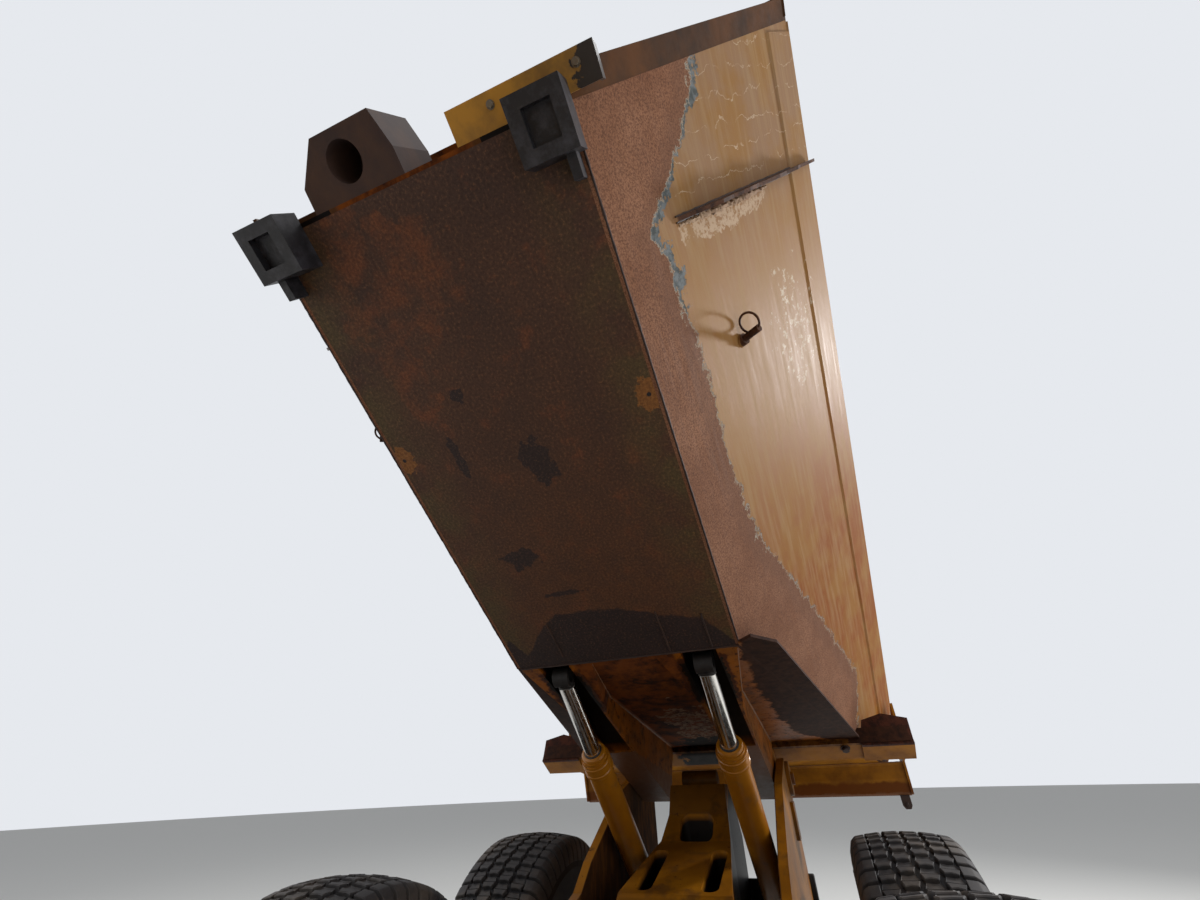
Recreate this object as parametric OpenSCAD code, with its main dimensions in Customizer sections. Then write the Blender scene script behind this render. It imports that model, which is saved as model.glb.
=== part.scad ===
// Articulated dump truck: three axles, hinged amidships, with a raised load bed.
// Units are millimetres. X runs forward, Y to the truck's left, Z up from the ground.
// Lengths along X are measured from the middle of the rear bogie, and on the front half
// from its axle. row() and front_row() put the origin under the middle of the truck.

/* [Main] */
// Piece to draw
// Angle of the bed floor above level
bed_raise = 30.24; // [30.24:0.01:30.24]

/* [Wheels] */
// Tyre diameter over the lugs
tyre_d = 1580; // [1540:10:1600]
// Tyre width
tyre_w = 580; // [540:10:600]
// Distance between left and right tyre centres
track = 2256; // [2240:4:2280]
// Distance between the two bogie axles
bogie_pitch = 1700; // [1680:10:1740]
// Bogie middle to front axle
wheelbase = 5050; // [5000:10:5100]
// Lugs in one row of the tread
lug_count = 22; // [18:1:24]

/* [Bed] */
// Floor length ahead of the chute fold
floor_len = 2254; // [2200:1:2300]
// Half width of the flat floor
floor_half = 589; // [580:1:600]
// How far a side wall leans out for each millimetre of height
side_slope = 0.644; // [0.63:0.002:0.65]
// Height of the side walls over the floor
side_h = 1336; // [1300:1:1350]
// Sheet thickness
sheet = 14; // [12:1:16]
// Forward lean of the front wall
front_lean = 8.13; // [7:0.01:9]
// Slope of the chute against the floor
chute_tilt = 21; // [20:0.5:22]
// Chute length from the fold to the tail
chute_len = 3125; // [3100:5:3140]

/* [Hoist] */
// Barrel radius
barrel_r = 75; // [70:1:78]
// Rod radius
rod_r = 45; // [40:1:48]

/* [Cab] */
// Cab width
cab_w = 1450; // [1400:10:1500]
// Roof height over the ground
roof_z = 3430; // [3400:10:3460]

/* [Hidden] */
$fn = 64;
run_fit = 0.08;        // radial clearance of a pin that turns in its bore
seam = 0.05;           // gap at the root of a welded seam
gap = 6;               // clearance between pieces that move past each other
nose = 2570;          // front axle to the front face of the bumper
tail_x = -2644.97;      // rearmost corner of the raised bed
mid_x = (wheelbase + nose + tail_x) / 2;
tyre_r = tyre_d / 2;
axle_z = tyre_r;
axle_m = bogie_pitch / 2;
wheel_y = track / 2;
rim_r = 318;
lug_h = 34;

// Bed: the fold between floor and chute is the bed's own origin.
fold_x = 469;
fold_z = 2379;
hinge_x = -1500;
hinge_z = 1830;
hinge_u = (hinge_x - fold_x) * cos(bed_raise) + (hinge_z - fold_z) * sin(bed_raise);
hinge_w = (fold_x - hinge_x) * sin(bed_raise) + (hinge_z - fold_z) * cos(bed_raise);
hinge_pin_r = 40;
box_tilt = 10;         // underside of the hoist boxes against the floor
pocket_top = 200;      // roof of the rod pockets over the floor
pocket_len = 1050;     // from the fold rearward
wall_in = sheet * sqrt(1 + side_slope * side_slope);  // sheet, measured level
pin_u = -136.3;        // rod pin, along the floor from the fold
pin_w = 40.1;          // rod pin, over the floor
hoist_y = 387;
base_x = -1284.3;
base_z = 1009;
rod_pin_x = fold_x + pin_u * cos(bed_raise) - pin_w * sin(bed_raise);
rod_pin_z = fold_z + pin_u * sin(bed_raise) + pin_w * cos(bed_raise);
hoist_len = norm([rod_pin_x - base_x, rod_pin_z - base_z]);
hoist_angle = atan2(rod_pin_z - base_z, rod_pin_x - base_x);
barrel_len = 1550;
frame_top = 1190;      // top of the rails under the lowered bed's floor

// Hitch and steering.
tow_r = 30;
pivot_x = 3750;
shaft_z = 960;
shaft_r = 150;
steer_z = 590;
steer_ax = pivot_x - 450;
steer_ay = 450;
steer_qx = pivot_x + 950;
steer_qy = 420;
steer_len = norm([steer_qx - steer_ax, steer_qy - steer_ay]);
steer_angle = atan2(steer_qy - steer_ay, steer_qx - steer_ax);

// Cab and hood, measured from the front axle.
hood_pin_x = 2450;
hood_pin_z = 1200;
cab_x0 = -990;
cab_x1 = 570;
cab_z0 = 1640;
door_z = 1790;         // lower edge of the door opening, above the fenders
wall = 36;
door_pin_x = -618;
door_hinge_z = [1900, 3000];

module row() {
  translate([-mid_x, 0, 0]) children();
}

module front_row() {
  row() translate([wheelbase, 0, 0]) children();
}

module both() {
  for (m = [0, 1])
    mirror([0, m, 0]) children();
}

module box(x0, x1, y0, y1, z0, z1) {
  translate([x0, y0, z0]) cube([x1 - x0, y1 - y0, z1 - z0]);
}

module side_plate(points, y0, y1) {
  translate([0, y1, 0]) rotate([90, 0, 0]) linear_extrude(y1 - y0) polygon(points);
}

module top_plate(points, z0, z1) {
  translate([0, 0, z0]) linear_extrude(z1 - z0) polygon(points);
}

module rod_y(x, z, r, y0, y1) {
  translate([x, y1, z]) rotate([90, 0, 0]) cylinder(r = r, h = y1 - y0);
}

module rod_x(y, z, r, x0, x1) {
  translate([x0, y, z]) rotate([0, 90, 0]) cylinder(r = r, h = x1 - x0);
}

module rod_z(x, y, r, z0, z1) {
  translate([x, y, z0]) cylinder(r = r, h = z1 - z0);
}

// Puts bed coordinates (along the floor, left, over the floor) into the truck.
module in_bed() {
  translate([fold_x, 0, fold_z]) rotate([0, -bed_raise, 0]) children();
}

// Front wall coordinates: X out of the wall's front face, Z up along it.
module in_front() {
  in_bed() translate([floor_len, 0, 0]) rotate([0, front_lean, 0]) children();
}

// Chute coordinates: X runs rearward from the fold along the chute.
module in_chute() {
  in_bed() rotate([0, chute_tilt, 0]) mirror([1, 0, 0]) children();
}

// Wheels.
module tyre(x, s) {
  w = tyre_w / 2;
  color([0.10, 0.10, 0.10]) translate([x, s * wheel_y, axle_z]) rotate([90, 0, 0]) {
    rotate_extrude() polygon([[rim_r, -w + 50], [rim_r + 30, -w + 30], [tyre_r - 250, -w],
      [tyre_r - 90, -w + 25], [tyre_r - lug_h, -w + 70], [tyre_r - lug_h, w - 70],
      [tyre_r - 90, w - 25], [tyre_r - 250, w], [rim_r + 30, w - 30], [rim_r, w - 50]]);
    for (i = [0:lug_count - 1])
      for (r = [0, 1])
        rotate([0, 0, 90 + 360 * (i + r / 2) / lug_count]) translate([tyre_r - 80, 0, 0])
          mirror([0, 0, r]) translate([0, -62, 20]) cube([80, 124, w - 40]);
  }
}

module rim(x, s) {
  w = tyre_w / 2;
  color([0.80, 0.62, 0.16]) translate([x, s * wheel_y, axle_z]) rotate([-90 * s, 0, 0])
    rotate_extrude() polygon([[90 + run_fit, -190], [150, -190], [150, -60], [250, -20],
      [rim_r - 22, -20], [rim_r - 22, -w + 50], [rim_r, -w + 50], [rim_r, w - 50],
      [rim_r - 22, w - 50], [rim_r - 40, 30], [235, 20], [215, 160], [190, 175],
      [120, 190], [0, 190], [0, 120], [90 + run_fit, 120]]);
}

// Rear half of the truck.
module rail_outline() {
  polygon([[-1400, 900], [-1560, 1000], [-1640, 1300], [-1625, 1830], [450, frame_top],
    [3080, frame_top - 10], [3080, 1080], [2750, 960], [700, 960], [300, 1030], [-1060, 1030],
    [-1130, 900]]);
  // upper edge rises in steps to the hinge
  polygon([[-1625, 1790], [-1600, 1900], [-1500, 1955], [-1430, 1940], [-905, 1812],
    [-566, 1634], [-299, 1493], [-158, 1385], [100, 1312], [455, frame_top], [-900, 1100]]);
}

module soft_rect(l, w, r) {
  square([l - 2 * r, w], center = true);
  square([l, w - 2 * r], center = true);
  for (x = [r - l / 2, l / 2 - r])
    for (y = [r - w / 2, w / 2 - r])
      translate([x, y]) circle(r = r);
}

// Middle box between the hoist cylinders: narrows towards its steep rear end.
module middle_box() {
  difference() {
    intersection() {
      side_plate([[-1400, 1040], [-1400, 1500], [-1150, 1812], [-956, 1820], [-882, 1664],
        [-720, 1547], [-120, 1400], [-60, 1340], [-60, 1040]], -400, 400);
      top_plate([[-60, 290], [-120, 286], [-882, 190], [-956, 181], [-1390, 181], [-1390, -181],
        [-956, -181], [-882, -190], [-120, -286], [-60, -290]], 900, 2000);
    }
    translate([-800, 0, 1250]) linear_extrude(700) soft_rect(178, 206, 50);
    for (y = [-170, 170])
      translate([-375, y, 1150]) linear_extrude(700) soft_rect(450, 90, 42);
  }
}

module rear_frame() {
  color([0.62, 0.50, 0.22]) difference() {
    union() {
      both() {
        translate([0, 550, 0]) rotate([90, 0, 0]) linear_extrude(50) rail_outline();
        box(470, 2830, 430, 510, frame_top - 45, frame_top - 5);
        box(720, 2740, 430, 510, 970, 1000);
        // hinge boss and hoist pin
        rod_y(hinge_x, hinge_z, 105, 493, 576);
        rod_y(base_x, base_z, 40, 160, 520);
        rod_y(base_x, base_z, 75, 491, 510);
        // front rails bend in to the hitch tube
        top_plate([[2720, 545], [3180, 330], [3180, 240], [2720, 460]], 1010, 1170);
        // bogie stubs
        box(-140, 140, 510, 560, 850, 1100);
        // front edge of the tower, turned out
        box(-1380, -1240, 545, 570, 1500, 1700);
      }
      middle_box();
      rod_y(-1090, 1838, 60, -118, 118);
      // cross members
      box(-1400, -1375, -510, 510, 1080, 1290);
      box(600, 700, -510, 510, 975, 1130);
      box(1700, 1800, -510, 510, 975, 1130);
      box(2640, 2740, -510, 510, 975, frame_top - 10);
      box(-1380, 640, -150, 150, 1040, 1090);
      // towing plate
      top_plate([[-1780, -70], [-1780, 70], [-1720, 130], [-1360, 200], [-1360, -200],
        [-1720, -130]], 1120, 1170);
      // tube that carries the turning hitch
      rod_x(0, shaft_z, 230, 2700, 3200);
      top_plate([[2660, -300], [3190, -245], [3190, 245], [2660, 300]], 1090, 1175);
      // propeller shaft
      rod_x(0, 790, 60, 1100, 2705);
      box(2650, 2750, -160, 160, 700, 1110);
    }
    rod_x(0, shaft_z, shaft_r + run_fit, 2820, 3230);
    both() rod_y(hinge_x, hinge_z, hinge_pin_r + run_fit, 470, 600);
    rod_z(-1700, 0, tow_r, 1100, 1200);
  }
}

module bogie() {
  color([0.16, 0.16, 0.17]) union() {
    for (x = [-axle_m, axle_m]) {
      rod_y(x, axle_z, 120, -800, 800);
      both() rod_y(x, axle_z, 90, 790, wheel_y + 110);
      rod_x(0, axle_z, 235, x - 150, x + 150);
      rod_x(0, axle_z, 120, x - 240, x + 240);
      rod_y(x, axle_z, 200, -230, 230);
      both() rod_y(x, axle_z, 170, 730, 800);
    }
    rod_x(0, axle_z, 55, -axle_m, axle_m);
    both() side_plate([[-axle_m - 110, 700], [-axle_m - 110, 900], [-300, 1030], [300, 1030],
      [axle_m + 110, 900], [axle_m + 110, 700], [300, 820], [-300, 820]], 600, 700);
    both() rod_y(0, 960, 130, 560, 730);
  }
}

// Bed.
function wall_y(w) = floor_half + side_slope * w;

// Turns a (left, over) profile into a prism along the bed.
module along_bed(u0, u1) {
  translate([u0, 0, 0]) rotate([90, 0, 90]) linear_extrude(u1 - u0) children();
}

// All that lies outboard of a face parallel to the side wall, d inside its outer face.
module outboard(d) {
  polygon([[wall_y(-600) - d, -600], [wall_y(2000) - d, 2000], [4000, 2000], [4000, -600]]);
}

// The trough's outer shape above the chute's underside, sheets included.
module trough_block() {
  intersection() {
    in_bed() along_bed(-4000, 400) polygon([[-wall_y(0), 0], [-wall_y(2000), 2000],
      [wall_y(2000), 2000], [wall_y(0), 0]]);
    in_chute() box(-500, 4500, -3000, 3000, 0, 3000);
  }
}

module bed_floor() {
  h = floor_half - wall_in - seam;
  top = h + side_slope * sheet;
  color([0.36, 0.24, 0.15]) difference() {
    in_bed() along_bed(0, floor_len + 20) polygon([[-h, 0], [h, 0], [top, sheet], [-top, sheet]]);
    in_front() box(-sheet, 200, -700, 700, -100, 100);
  }
}

module bed_sides() {
  color([0.72, 0.52, 0.17]) both() difference() {
    in_bed() along_bed(-3400, floor_len + 400) polygon([[wall_y(0), 0], [wall_y(side_h), side_h],
      [wall_y(side_h) - wall_in, side_h], [wall_y(0) - wall_in, 0]]);
    in_front() box(-sheet, 900, 0, 2000, -300, 2000);
    in_chute() box(-100, 4500, 0, 2000, -2500, 0);
    in_chute() box(chute_len, 4500, 0, 2000, -100, 3000);
    // the tail's upper corner slopes
    in_bed() side_plate([[-2420, side_h + 1], [-2990, side_h - 170], [-3500, side_h - 170],
      [-3500, side_h + 1]], 0, 2000);
  }
}

module bed_front() {
  k = side_slope * cos(front_lean);
  h = side_h / cos(front_lean);
  board = 90;
  color([0.70, 0.50, 0.17]) in_front() {
    along_bed(-sheet, 0) polygon([[-floor_half, 0], [floor_half, 0],
      [floor_half + k * h, h], [floor_half + k * h, h + board],
      [-floor_half - k * h, h + board], [-floor_half - k * h, h]]);
    // flanges along the slanted sides
    both() along_bed(0, 70) polygon([[floor_half + k * 16, 16], [floor_half + k * (h - 20), h - 20],
      [floor_half + k * (h - 20) - wall_in, h - 20], [floor_half + k * 16 - wall_in, 16]]);
    // stiffeners
    y = floor_half + k * 640 - 40;
    box(0, 60, -y, y, 620, 690);
    box(0, 80, -floor_half - k * h, floor_half + k * h, h - 10, h + board);
  }
}

module bed_chute() {
  color([0.74, 0.54, 0.18]) difference() {
    union() {
      in_chute() box(0, chute_len, -1500, 1500, 0, sheet);
      // humps over the rod pockets
      difference() {
        in_bed() both() box(-560, 14, 284, 487, -20, pocket_top + 12);
        in_chute() box(-100, 2000, -700, 700, -400, 0);
      }
    }
    in_bed() both() along_bed(-4000, 100) outboard(wall_in + seam);
    in_bed() box(0, 60, -700, 700, -60, sheet);
    in_bed() both() rod_pocket();
  }
}

module rod_pocket() {
  box(-pocket_len, 0, 298, 473, -60, pocket_top);
}

// Beams, boxes and plates that carry the bed from below.
module bed_beams() {
  color([0.74, 0.54, 0.18]) {
    difference() {
      union() {
        both() {
          hoist_box();
          hinge_ear();
          // outboard block and its gusset
          in_bed() box(-2068, -1886, 1103, 1440, 672, 800);
          in_bed() along_bed(-1905, -1889) polygon([[1100, 700], [1440, 700], [1455, 856],
            [1292, 902], [1150, 860]]);
        }
        wing();
        in_bed() box(-2058, -1880, -1420, 1420, 686, 796);
      }
      trough_block();
      in_bed() both() rod_pocket();
      in_bed() box(0, 60, -floor_half + 3, floor_half - 3, -60, 60);
    }
    tail_tube();
  }
}

module hoist_box() {
  slope = tan(box_tilt);
  rear = 1880;
  intersection() {
    in_bed() top_plate([[0, 165], [0, 575], [-620, 486], [-rear - 5, 486], [-rear - 5, 282],
      [-550, 282]], -10, 900);
    in_bed() side_plate([[0, 0], [-rear - 5, slope * rear], [-rear - 5, 850], [0, 300]], 0, 700);
  }
}

module hinge_ear() {
  in_bed() {
    side_plate([[-1600, 300], [-1860, 440], [-2080, 500], [-2090, 560], [-2050, 780],
      [-1600, 640]], 456, 486);
    rod_y(hinge_u, hinge_w, 112, 456, 486);
    rod_y(hinge_u, hinge_w, 60, 436, 458);
    rod_y(hinge_u, hinge_w, hinge_pin_r, 446, 596);
  }
}

// Plate that goes on from the chute under the left side wall.
module wing() {
  in_chute() top_plate([[0, 560], [-88, 652], [20, 757], [2070, 1112], [2070, 1020]], 0, sheet);
}

module tail_tube() {
  in_chute() {
    translate([chute_len - 1, 0, 0]) {
      side_plate([[-174, 0], [-156, -20], [-138, -60], [-122, -110], [-68, -205], [-49, -216],
        [-16, -205], [0, -150], [0, 0]], -1430, 1430);
      both() side_plate([[-524, 0], [-194, 0], [-84, -214], [0, -205], [0, 180], [-264, 270],
        [-624, 330]], 1428, 1445);
    }
  }
}

module bed_rails() {
  fin = 90;
  // outward step from the wall's outer face, in (left, over)
  n = [1, -side_slope] / sqrt(1 + side_slope * side_slope);
  color([0.72, 0.52, 0.17]) in_bed() both() {
    // doubled edge and cap along the top
    difference() {
      union() {
        along_bed(-2950, floor_len + 130) polygon([[wall_y(1137), 1137],
          [wall_y(1150) + 7, 1146], [wall_y(side_h) + 7, side_h], [wall_y(side_h), side_h]]);
        along_bed(-2420, floor_len + 170) polygon([[wall_y(side_h) + 7, side_h],
          [wall_y(side_h) + 7, side_h + 16], [wall_y(side_h) - 60, side_h + 16],
          [wall_y(side_h) - 60, side_h]]);
      }
      translate([floor_len, 0, 0]) rotate([0, front_lean, 0]) box(-sheet, 900, 0, 2000, -300, 2000);
      rotate([0, chute_tilt, 0]) mirror([1, 0, 0]) box(chute_len, 4500, 0, 2000, -100, 3000);
      side_plate([[-2420, side_h + 1], [-2990, side_h - 170], [-3500, side_h - 170],
        [-3500, side_h + 40], [-2421, side_h + 40]], 0, 2000);
    }
    // ragged rib across the wall
    along_bed(1822, 1836) polygon([for (p = [[280, 0], [1300, 0], [1340, 34], [1290, 46],
      [1180, 40], [1090, 72], [1010, 58], [900, 84], [760, 66], [650, fin], [560, 74],
      [470, 88], [380, 50]]) [wall_y(p[0]) + n[0] * p[1], p[0] + n[1] * p[1]]]);
    // lug with its wire ring
    difference() {
      translate([1259, wall_y(512) - 10, 512]) rotate([-122, 0, 0]) rotate([0, 28, 0]) {
        cylinder(r = 16, h = 118);
        cylinder(r = 26, h = 34);
        translate([42, 0, 96]) rotate([90, 0, 0]) rotate_extrude() translate([44, 0])
          circle(r = 5, $fn = 16);
      }
      along_bed(1100, 1400) polygon([[wall_y(0), 0], [wall_y(900), 900], [0, 900], [0, 0]]);
    }
  }
}

module bed_fittings() {
  color([0.12, 0.12, 0.12]) {
    in_bed() both() {
      difference() {
        box(2110, 2290, 425, 600, -110, 0);
        box(2150, 2250, 470, 560, -111, -80);
      }
      box(2040, 2112, 545, 575, -70, 0);
    }
    // plate and flange ahead of the floor's left edge
    difference() {
      in_bed() union() {
        box(floor_len - 5, floor_len + 96, 220, 700, 0, 12);
        box(floor_len - 5, floor_len + 96, 688, 700, 0, 78);
      }
      in_front() box(-200, 0, -1000, 1000, -100, 200);
      in_front() both() along_bed(0, 100) polygon([[floor_half - 60, 16], [floor_half + 30, 16],
        [floor_half + 60, 90], [floor_half - 40, 90]]);
    }
  }
}

module exhaust_inlet() {
  color([0.40, 0.26, 0.16]) difference() {
    in_bed() translate([floor_len, 0, 0]) top_plate([[0, -350], [80, -345], [196, -240],
      [196, -10], [80, 20], [0, 20]], 0, 240);
    in_bed() translate([floor_len + 100, -160, -10]) cylinder(r = 63, h = 200);
    in_front() box(-300, 0, -700, 700, -200, 600);
  }
}

// Hoist.
module in_hoist(s) {
  translate([base_x, s * hoist_y, base_z]) rotate([0, -hoist_angle, 0]) children();
}

module hoist_barrel(s) {
  color([0.83, 0.62, 0.12]) in_hoist(s) difference() {
    union() {
      rod_y(0, 0, 82, -44, 44);
      rod_x(0, 0, barrel_r, 46, barrel_len);
      rod_x(0, 0, barrel_r + 6, barrel_len - 110, barrel_len - 20);
      rod_x(0, 0, barrel_r + 6, 60, 110);
    }
    rod_y(0, 0, 40 + run_fit, -60, 60);
    rod_x(0, 0, rod_r + run_fit, 95, barrel_len + 10);
  }
}

module hoist_rod(s) {
  color([0.75, 0.76, 0.78]) in_hoist(s) difference() {
    union() {
      rod_x(0, 0, rod_r, 600, hoist_len - 30);
      rod_y(hoist_len, 0, 50, -45, 45);
    }
    rod_y(hoist_len, 0, 28, -60, 60);
  }
}

// Hitch: turns in the rear frame's tube and carries the upright pin.
module hitch() {
  color([0.20, 0.20, 0.21]) difference() {
    union() {
      rod_x(0, shaft_z, shaft_r, 2840, 3300);
      rod_x(0, shaft_z, 235, 3206, 3290);
      side_plate([[3290, 760], [3290, 1160], [3600, 1130], [3600, 790]], -130, 130);
      top_plate([[3560, -130], [3750, -170], [3750, 170], [3560, 130]], 790, 1130);
      rod_z(pivot_x, 0, 175, 790, 1130);
      // arms for the steering cylinders
      top_plate([[3210, -200], [3210, 200], [steer_ax - 50, 500], [steer_ax + 60, 500],
        [3420, 200], [3420, -200], [steer_ax + 60, -500], [steer_ax - 50, -500]], 640, 680);
      box(3210, 3290, -120, 120, 640, 800);
      both() rod_z(steer_ax, steer_ay, 30, 545, 650);
    }
    rod_z(pivot_x, 0, 60 + run_fit, 700, 1200);
  }
}

module in_steer(s) {
  translate([steer_ax, s * steer_ay, steer_z]) rotate([0, 0, s * steer_angle]) children();
}

module steer_barrel(s) {
  color([0.16, 0.16, 0.17]) in_steer(s) difference() {
    union() {
      rod_z(0, 0, 55, -40, 40);
      rod_x(0, 0, 48, 30, 900);
      rod_x(0, 0, 54, 830, 890);
    }
    rod_z(0, 0, 30 + run_fit, -60, 60);
    rod_x(0, 0, 30 + run_fit, 75, 910);
  }
}

module steer_rod(s) {
  color([0.75, 0.76, 0.78]) in_steer(s) difference() {
    union() {
      rod_x(0, 0, 30, 430, steer_len - 20);
      rod_z(steer_len, 0, 48, -35, 35);
    }
    rod_z(steer_len, 0, 28, -60, 60);
  }
}

// Front half of the truck.
module front_frame() {
  color([0.17, 0.17, 0.18]) difference() {
    union() {
      both() {
        box(pivot_x + 500, wheelbase + 2350, 330, 430, 860, 1160);
        // lugs for the steering rods
        box(steer_qx - 70, steer_qx + 70, 330, 500, 640, 680);
        box(steer_qx - 70, steer_qx + 70, 330, 420, 670, 870);
      }
      // plates above and below the hitch
      for (z = [724, 1136]) {
        top_plate([[pivot_x, -180], [pivot_x + 550, -430], [pivot_x + 550, 430], [pivot_x, 180]],
          z, z + 60);
        rod_z(pivot_x, 0, 180, z, z + 60);
      }
      rod_z(pivot_x, 0, 60, 730, 1190);
      box(pivot_x + 490, pivot_x + 550, -430, 430, 740, 1190);
      translate([wheelbase, 0, 0]) front_fittings();
    }
    translate([wheelbase, 0, 0]) {
      rod_y(0, axle_z, 118, -450, 450);
      both() rod_z(nose - 60, 900, tow_r, 600, 950);
    }
  }
}

// What the front frame's rails carry.
module front_fittings() {
  both() {
    side_plate([[2150, 620], [2150, 860], [nose, 860], [nose, 620]], 300, 420);
    // cab supports
    box(-850, -730, 330, 430, 1150, 1335);
    box(390, 510, 330, 430, 1150, 1335);
    // fuel tank on one side, battery box on the other
    box(850, 1650, 420, 1000, 780, 1160);
    // seats and pivots for the hood
    box(700, 800, 420, 556, 1100, 1239.7);
    box(2290, 2380, 420, 556, 1100, 1239.7);
    box(2390, 2470, 490, 528, 1100, hood_pin_z + 22);
    rod_y(hood_pin_x, hood_pin_z, 15, 500, 572);
    box(850, 2050, 330, 350, 1150, 1170);
  }
  box(650, 750, -340, 340, 880, 1140);
  box(2250, 2350, -430, 430, 800, 1160);
  // bumper
  box(2430, nose, -1200, 1200, 620, 900);
  box(2350, 2435, -430, 430, 640, 1100);
  // cab floor
  box(-900, 510, -cab_w / 2 + 35, cab_w / 2 - 35, 1330, cab_z0);
  // lamp panel
  box(2380, 2430, -1180, 1180, 890, 1150);
}

module front_axle() {
  color([0.16, 0.16, 0.17]) union() {
    rod_y(0, axle_z, 110, -800, 800);
    both() rod_y(0, axle_z, 90, 790, wheel_y + 110);
    both() rod_y(0, axle_z, 170, 730, 800);
    rod_x(0, axle_z, 210, -150, 150);
    // spring seats under the rails
    both() for (d = [-150, 98])
      box(d, d + 52, 340, 420, axle_z - 50, 859.7);
    rod_x(0, axle_z, 50, -600, 0);
  }
}

module engine() {
  color([0.25, 0.25, 0.26]) box(810, 2100, -330, 330, 1170, 1900);
}

module hood_outline() {
  polygon([[630, 1240], [630, 2330], [1350, 2240], [2200, 2050], [2430, 1900], [2510, 1240]]);
}

module hood() {
  color([0.78, 0.58, 0.17]) difference() {
    union() {
      difference() {
        translate([0, 560, 0]) rotate([90, 0, 0]) linear_extrude(1120) hood_outline();
        side_plate([[550, 1100], [550, 2310], [1340, 2210], [2180, 2025], [2405, 1880],
          [2650, 1840], [2650, 1100]], -535, 535);
      }
      // pivot tabs at the front corners
      both() {
        side_plate([[hood_pin_x - 30, hood_pin_z], [hood_pin_x + 30, hood_pin_z],
          [2500, 1260], [2400, 1260]], 536, 560);
        rod_y(hood_pin_x, hood_pin_z, 30, 536, 560);
      }
    }
    both() rod_y(hood_pin_x, hood_pin_z, 15 + run_fit, 500, 600);
  }
}

module grille() {
  color([0.13, 0.13, 0.14]) difference() {
    side_plate([[2431, 1240], [2405, 1870], [2436, 1870], [2506, 1240]], -535, 535);
    for (i = [0:6])
      box(2350, 2650, -460, 460, 1320 + i * 75, 1355 + i * 75);
  }
}

function cab_outline() = [[cab_x0, cab_z0], [cab_x0, roof_z - 90], [cab_x0 + 60, roof_z],
  [280, roof_z], [390, roof_z - 90], [cab_x1, 2360], [cab_x1, cab_z0]];

function door_points(m) = [[-630 + m, door_z + m], [-630 + m, 3290 - m], [300 - m, 3290 - m],
  [430 - m, 2350], [430 - m, door_z + m]];

function door_window() = [[-550, 2080], [-550, 3210], [240, 3210], [360, 2340], [360, 2080]];

function quarter_window() = [[-920, 2350], [-920, 3230], [-690, 3230], [-690, 2350]];

module cab_body() {
  h = cab_w / 2;
  color([0.78, 0.58, 0.17]) difference() {
    side_plate(cab_outline(), -h, h);
    side_plate([[cab_x0 + wall, cab_z0 + wall], [cab_x0 + wall, roof_z - 100],
      [cab_x0 + 80, roof_z - wall], [260, roof_z - wall], [352, roof_z - 100],
      [cab_x1 - wall, 2350], [cab_x1 - wall, cab_z0 + wall]], -h + wall, h - wall);
    // left side: door opening; right side: window
    side_plate(door_points(0), h - wall - 1, h + 1);
    side_plate(door_points(60), -h - 1, -h + wall + 1);
    both() side_plate(quarter_window(), h - wall - 1, h + 1);
    // rear window
    box(cab_x0 - 1, cab_x0 + wall + 1, -560, 560, 2350, 3230);
    // windscreen
    box(350, cab_x1 + 60, -620, 620, 2430, 3290);
  }
  color([0.78, 0.58, 0.17]) for (z = door_hinge_z) {
    // hinge pins
    rod_z(door_pin_x, h + 16, 8, z - 20, z + 110);
    for (e = [z - 26, z + 96]) {
      rod_z(door_pin_x, h + 16, 14, e, e + 20);
      box(-665, door_pin_x, h + 2, h + 12, e, e + 20);
      box(-665, -635, h - 2, h + 4, e, e + 20);
    }
  }
}

module cab_glass() {
  h = cab_w / 2;
  color([0.45, 0.52, 0.55, 0.4]) {
    side_plate(door_points(60), -h + 12, -h + 20);
    both() side_plate(quarter_window(), h - 20, h - 12);
    box(cab_x0 + 12, cab_x0 + 20, -560, 560, 2350, 3230);
    intersection() {
      side_plate([[371, roof_z - 110], [379, roof_z - 110], [cab_x1 - 12, 2360],
        [cab_x1 - 20, 2360]], -h, h);
      box(350, cab_x1 + 60, -620, 620, 2430, 3290);
    }
  }
}

module cab_interior() {
  f = cab_z0 + wall;
  color([0.15, 0.15, 0.16]) {
    box(-550, -250, -180, 180, f, f + 300);
    box(-650, -130, -260, 260, f + 300, f + 440);
    box(-690, -580, -250, 250, f + 400, f + 1080);
    box(290, 534, -600, 600, f, f + 655);
    box(130, 295, -40, 40, f + 500, f + 580);
    rod_z(160, 0, 30, f + 560, f + 720);
    translate([160, 0, f + 720]) rotate_extrude() translate([200, 0]) circle(r = 16, $fn = 24);
    box(-40, 360, -15, 15, f + 710, f + 728);
    box(-954, -790, -500, 500, f, f + 420);
  }
}

module cab_door() {
  h = cab_w / 2;
  color([0.78, 0.58, 0.17]) {
    difference() {
      side_plate(door_points(5), h - wall, h);
      side_plate(door_window(), h - wall - 1, h + 1);
    }
    rod_x(h + 30, 1960, 10, 250, 350);
    rod_y(260, 1960, 10, h - 5, h + 30);
    rod_y(340, 1960, 10, h - 5, h + 30);
    for (z = door_hinge_z) {
      difference() {
        union() {
          rod_z(door_pin_x, h + 16, 14, z, z + 90);
          box(door_pin_x, door_pin_x + 50, h - 5, h + 8, z, z + 90);
        }
        rod_z(door_pin_x, h + 16, 8 + run_fit, z - 1, z + 91);
      }
    }
  }
}

module door_glass() {
  h = cab_w / 2;
  color([0.45, 0.52, 0.55, 0.4])
    side_plate(door_window(), h - 20, h - 12);
}

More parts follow.
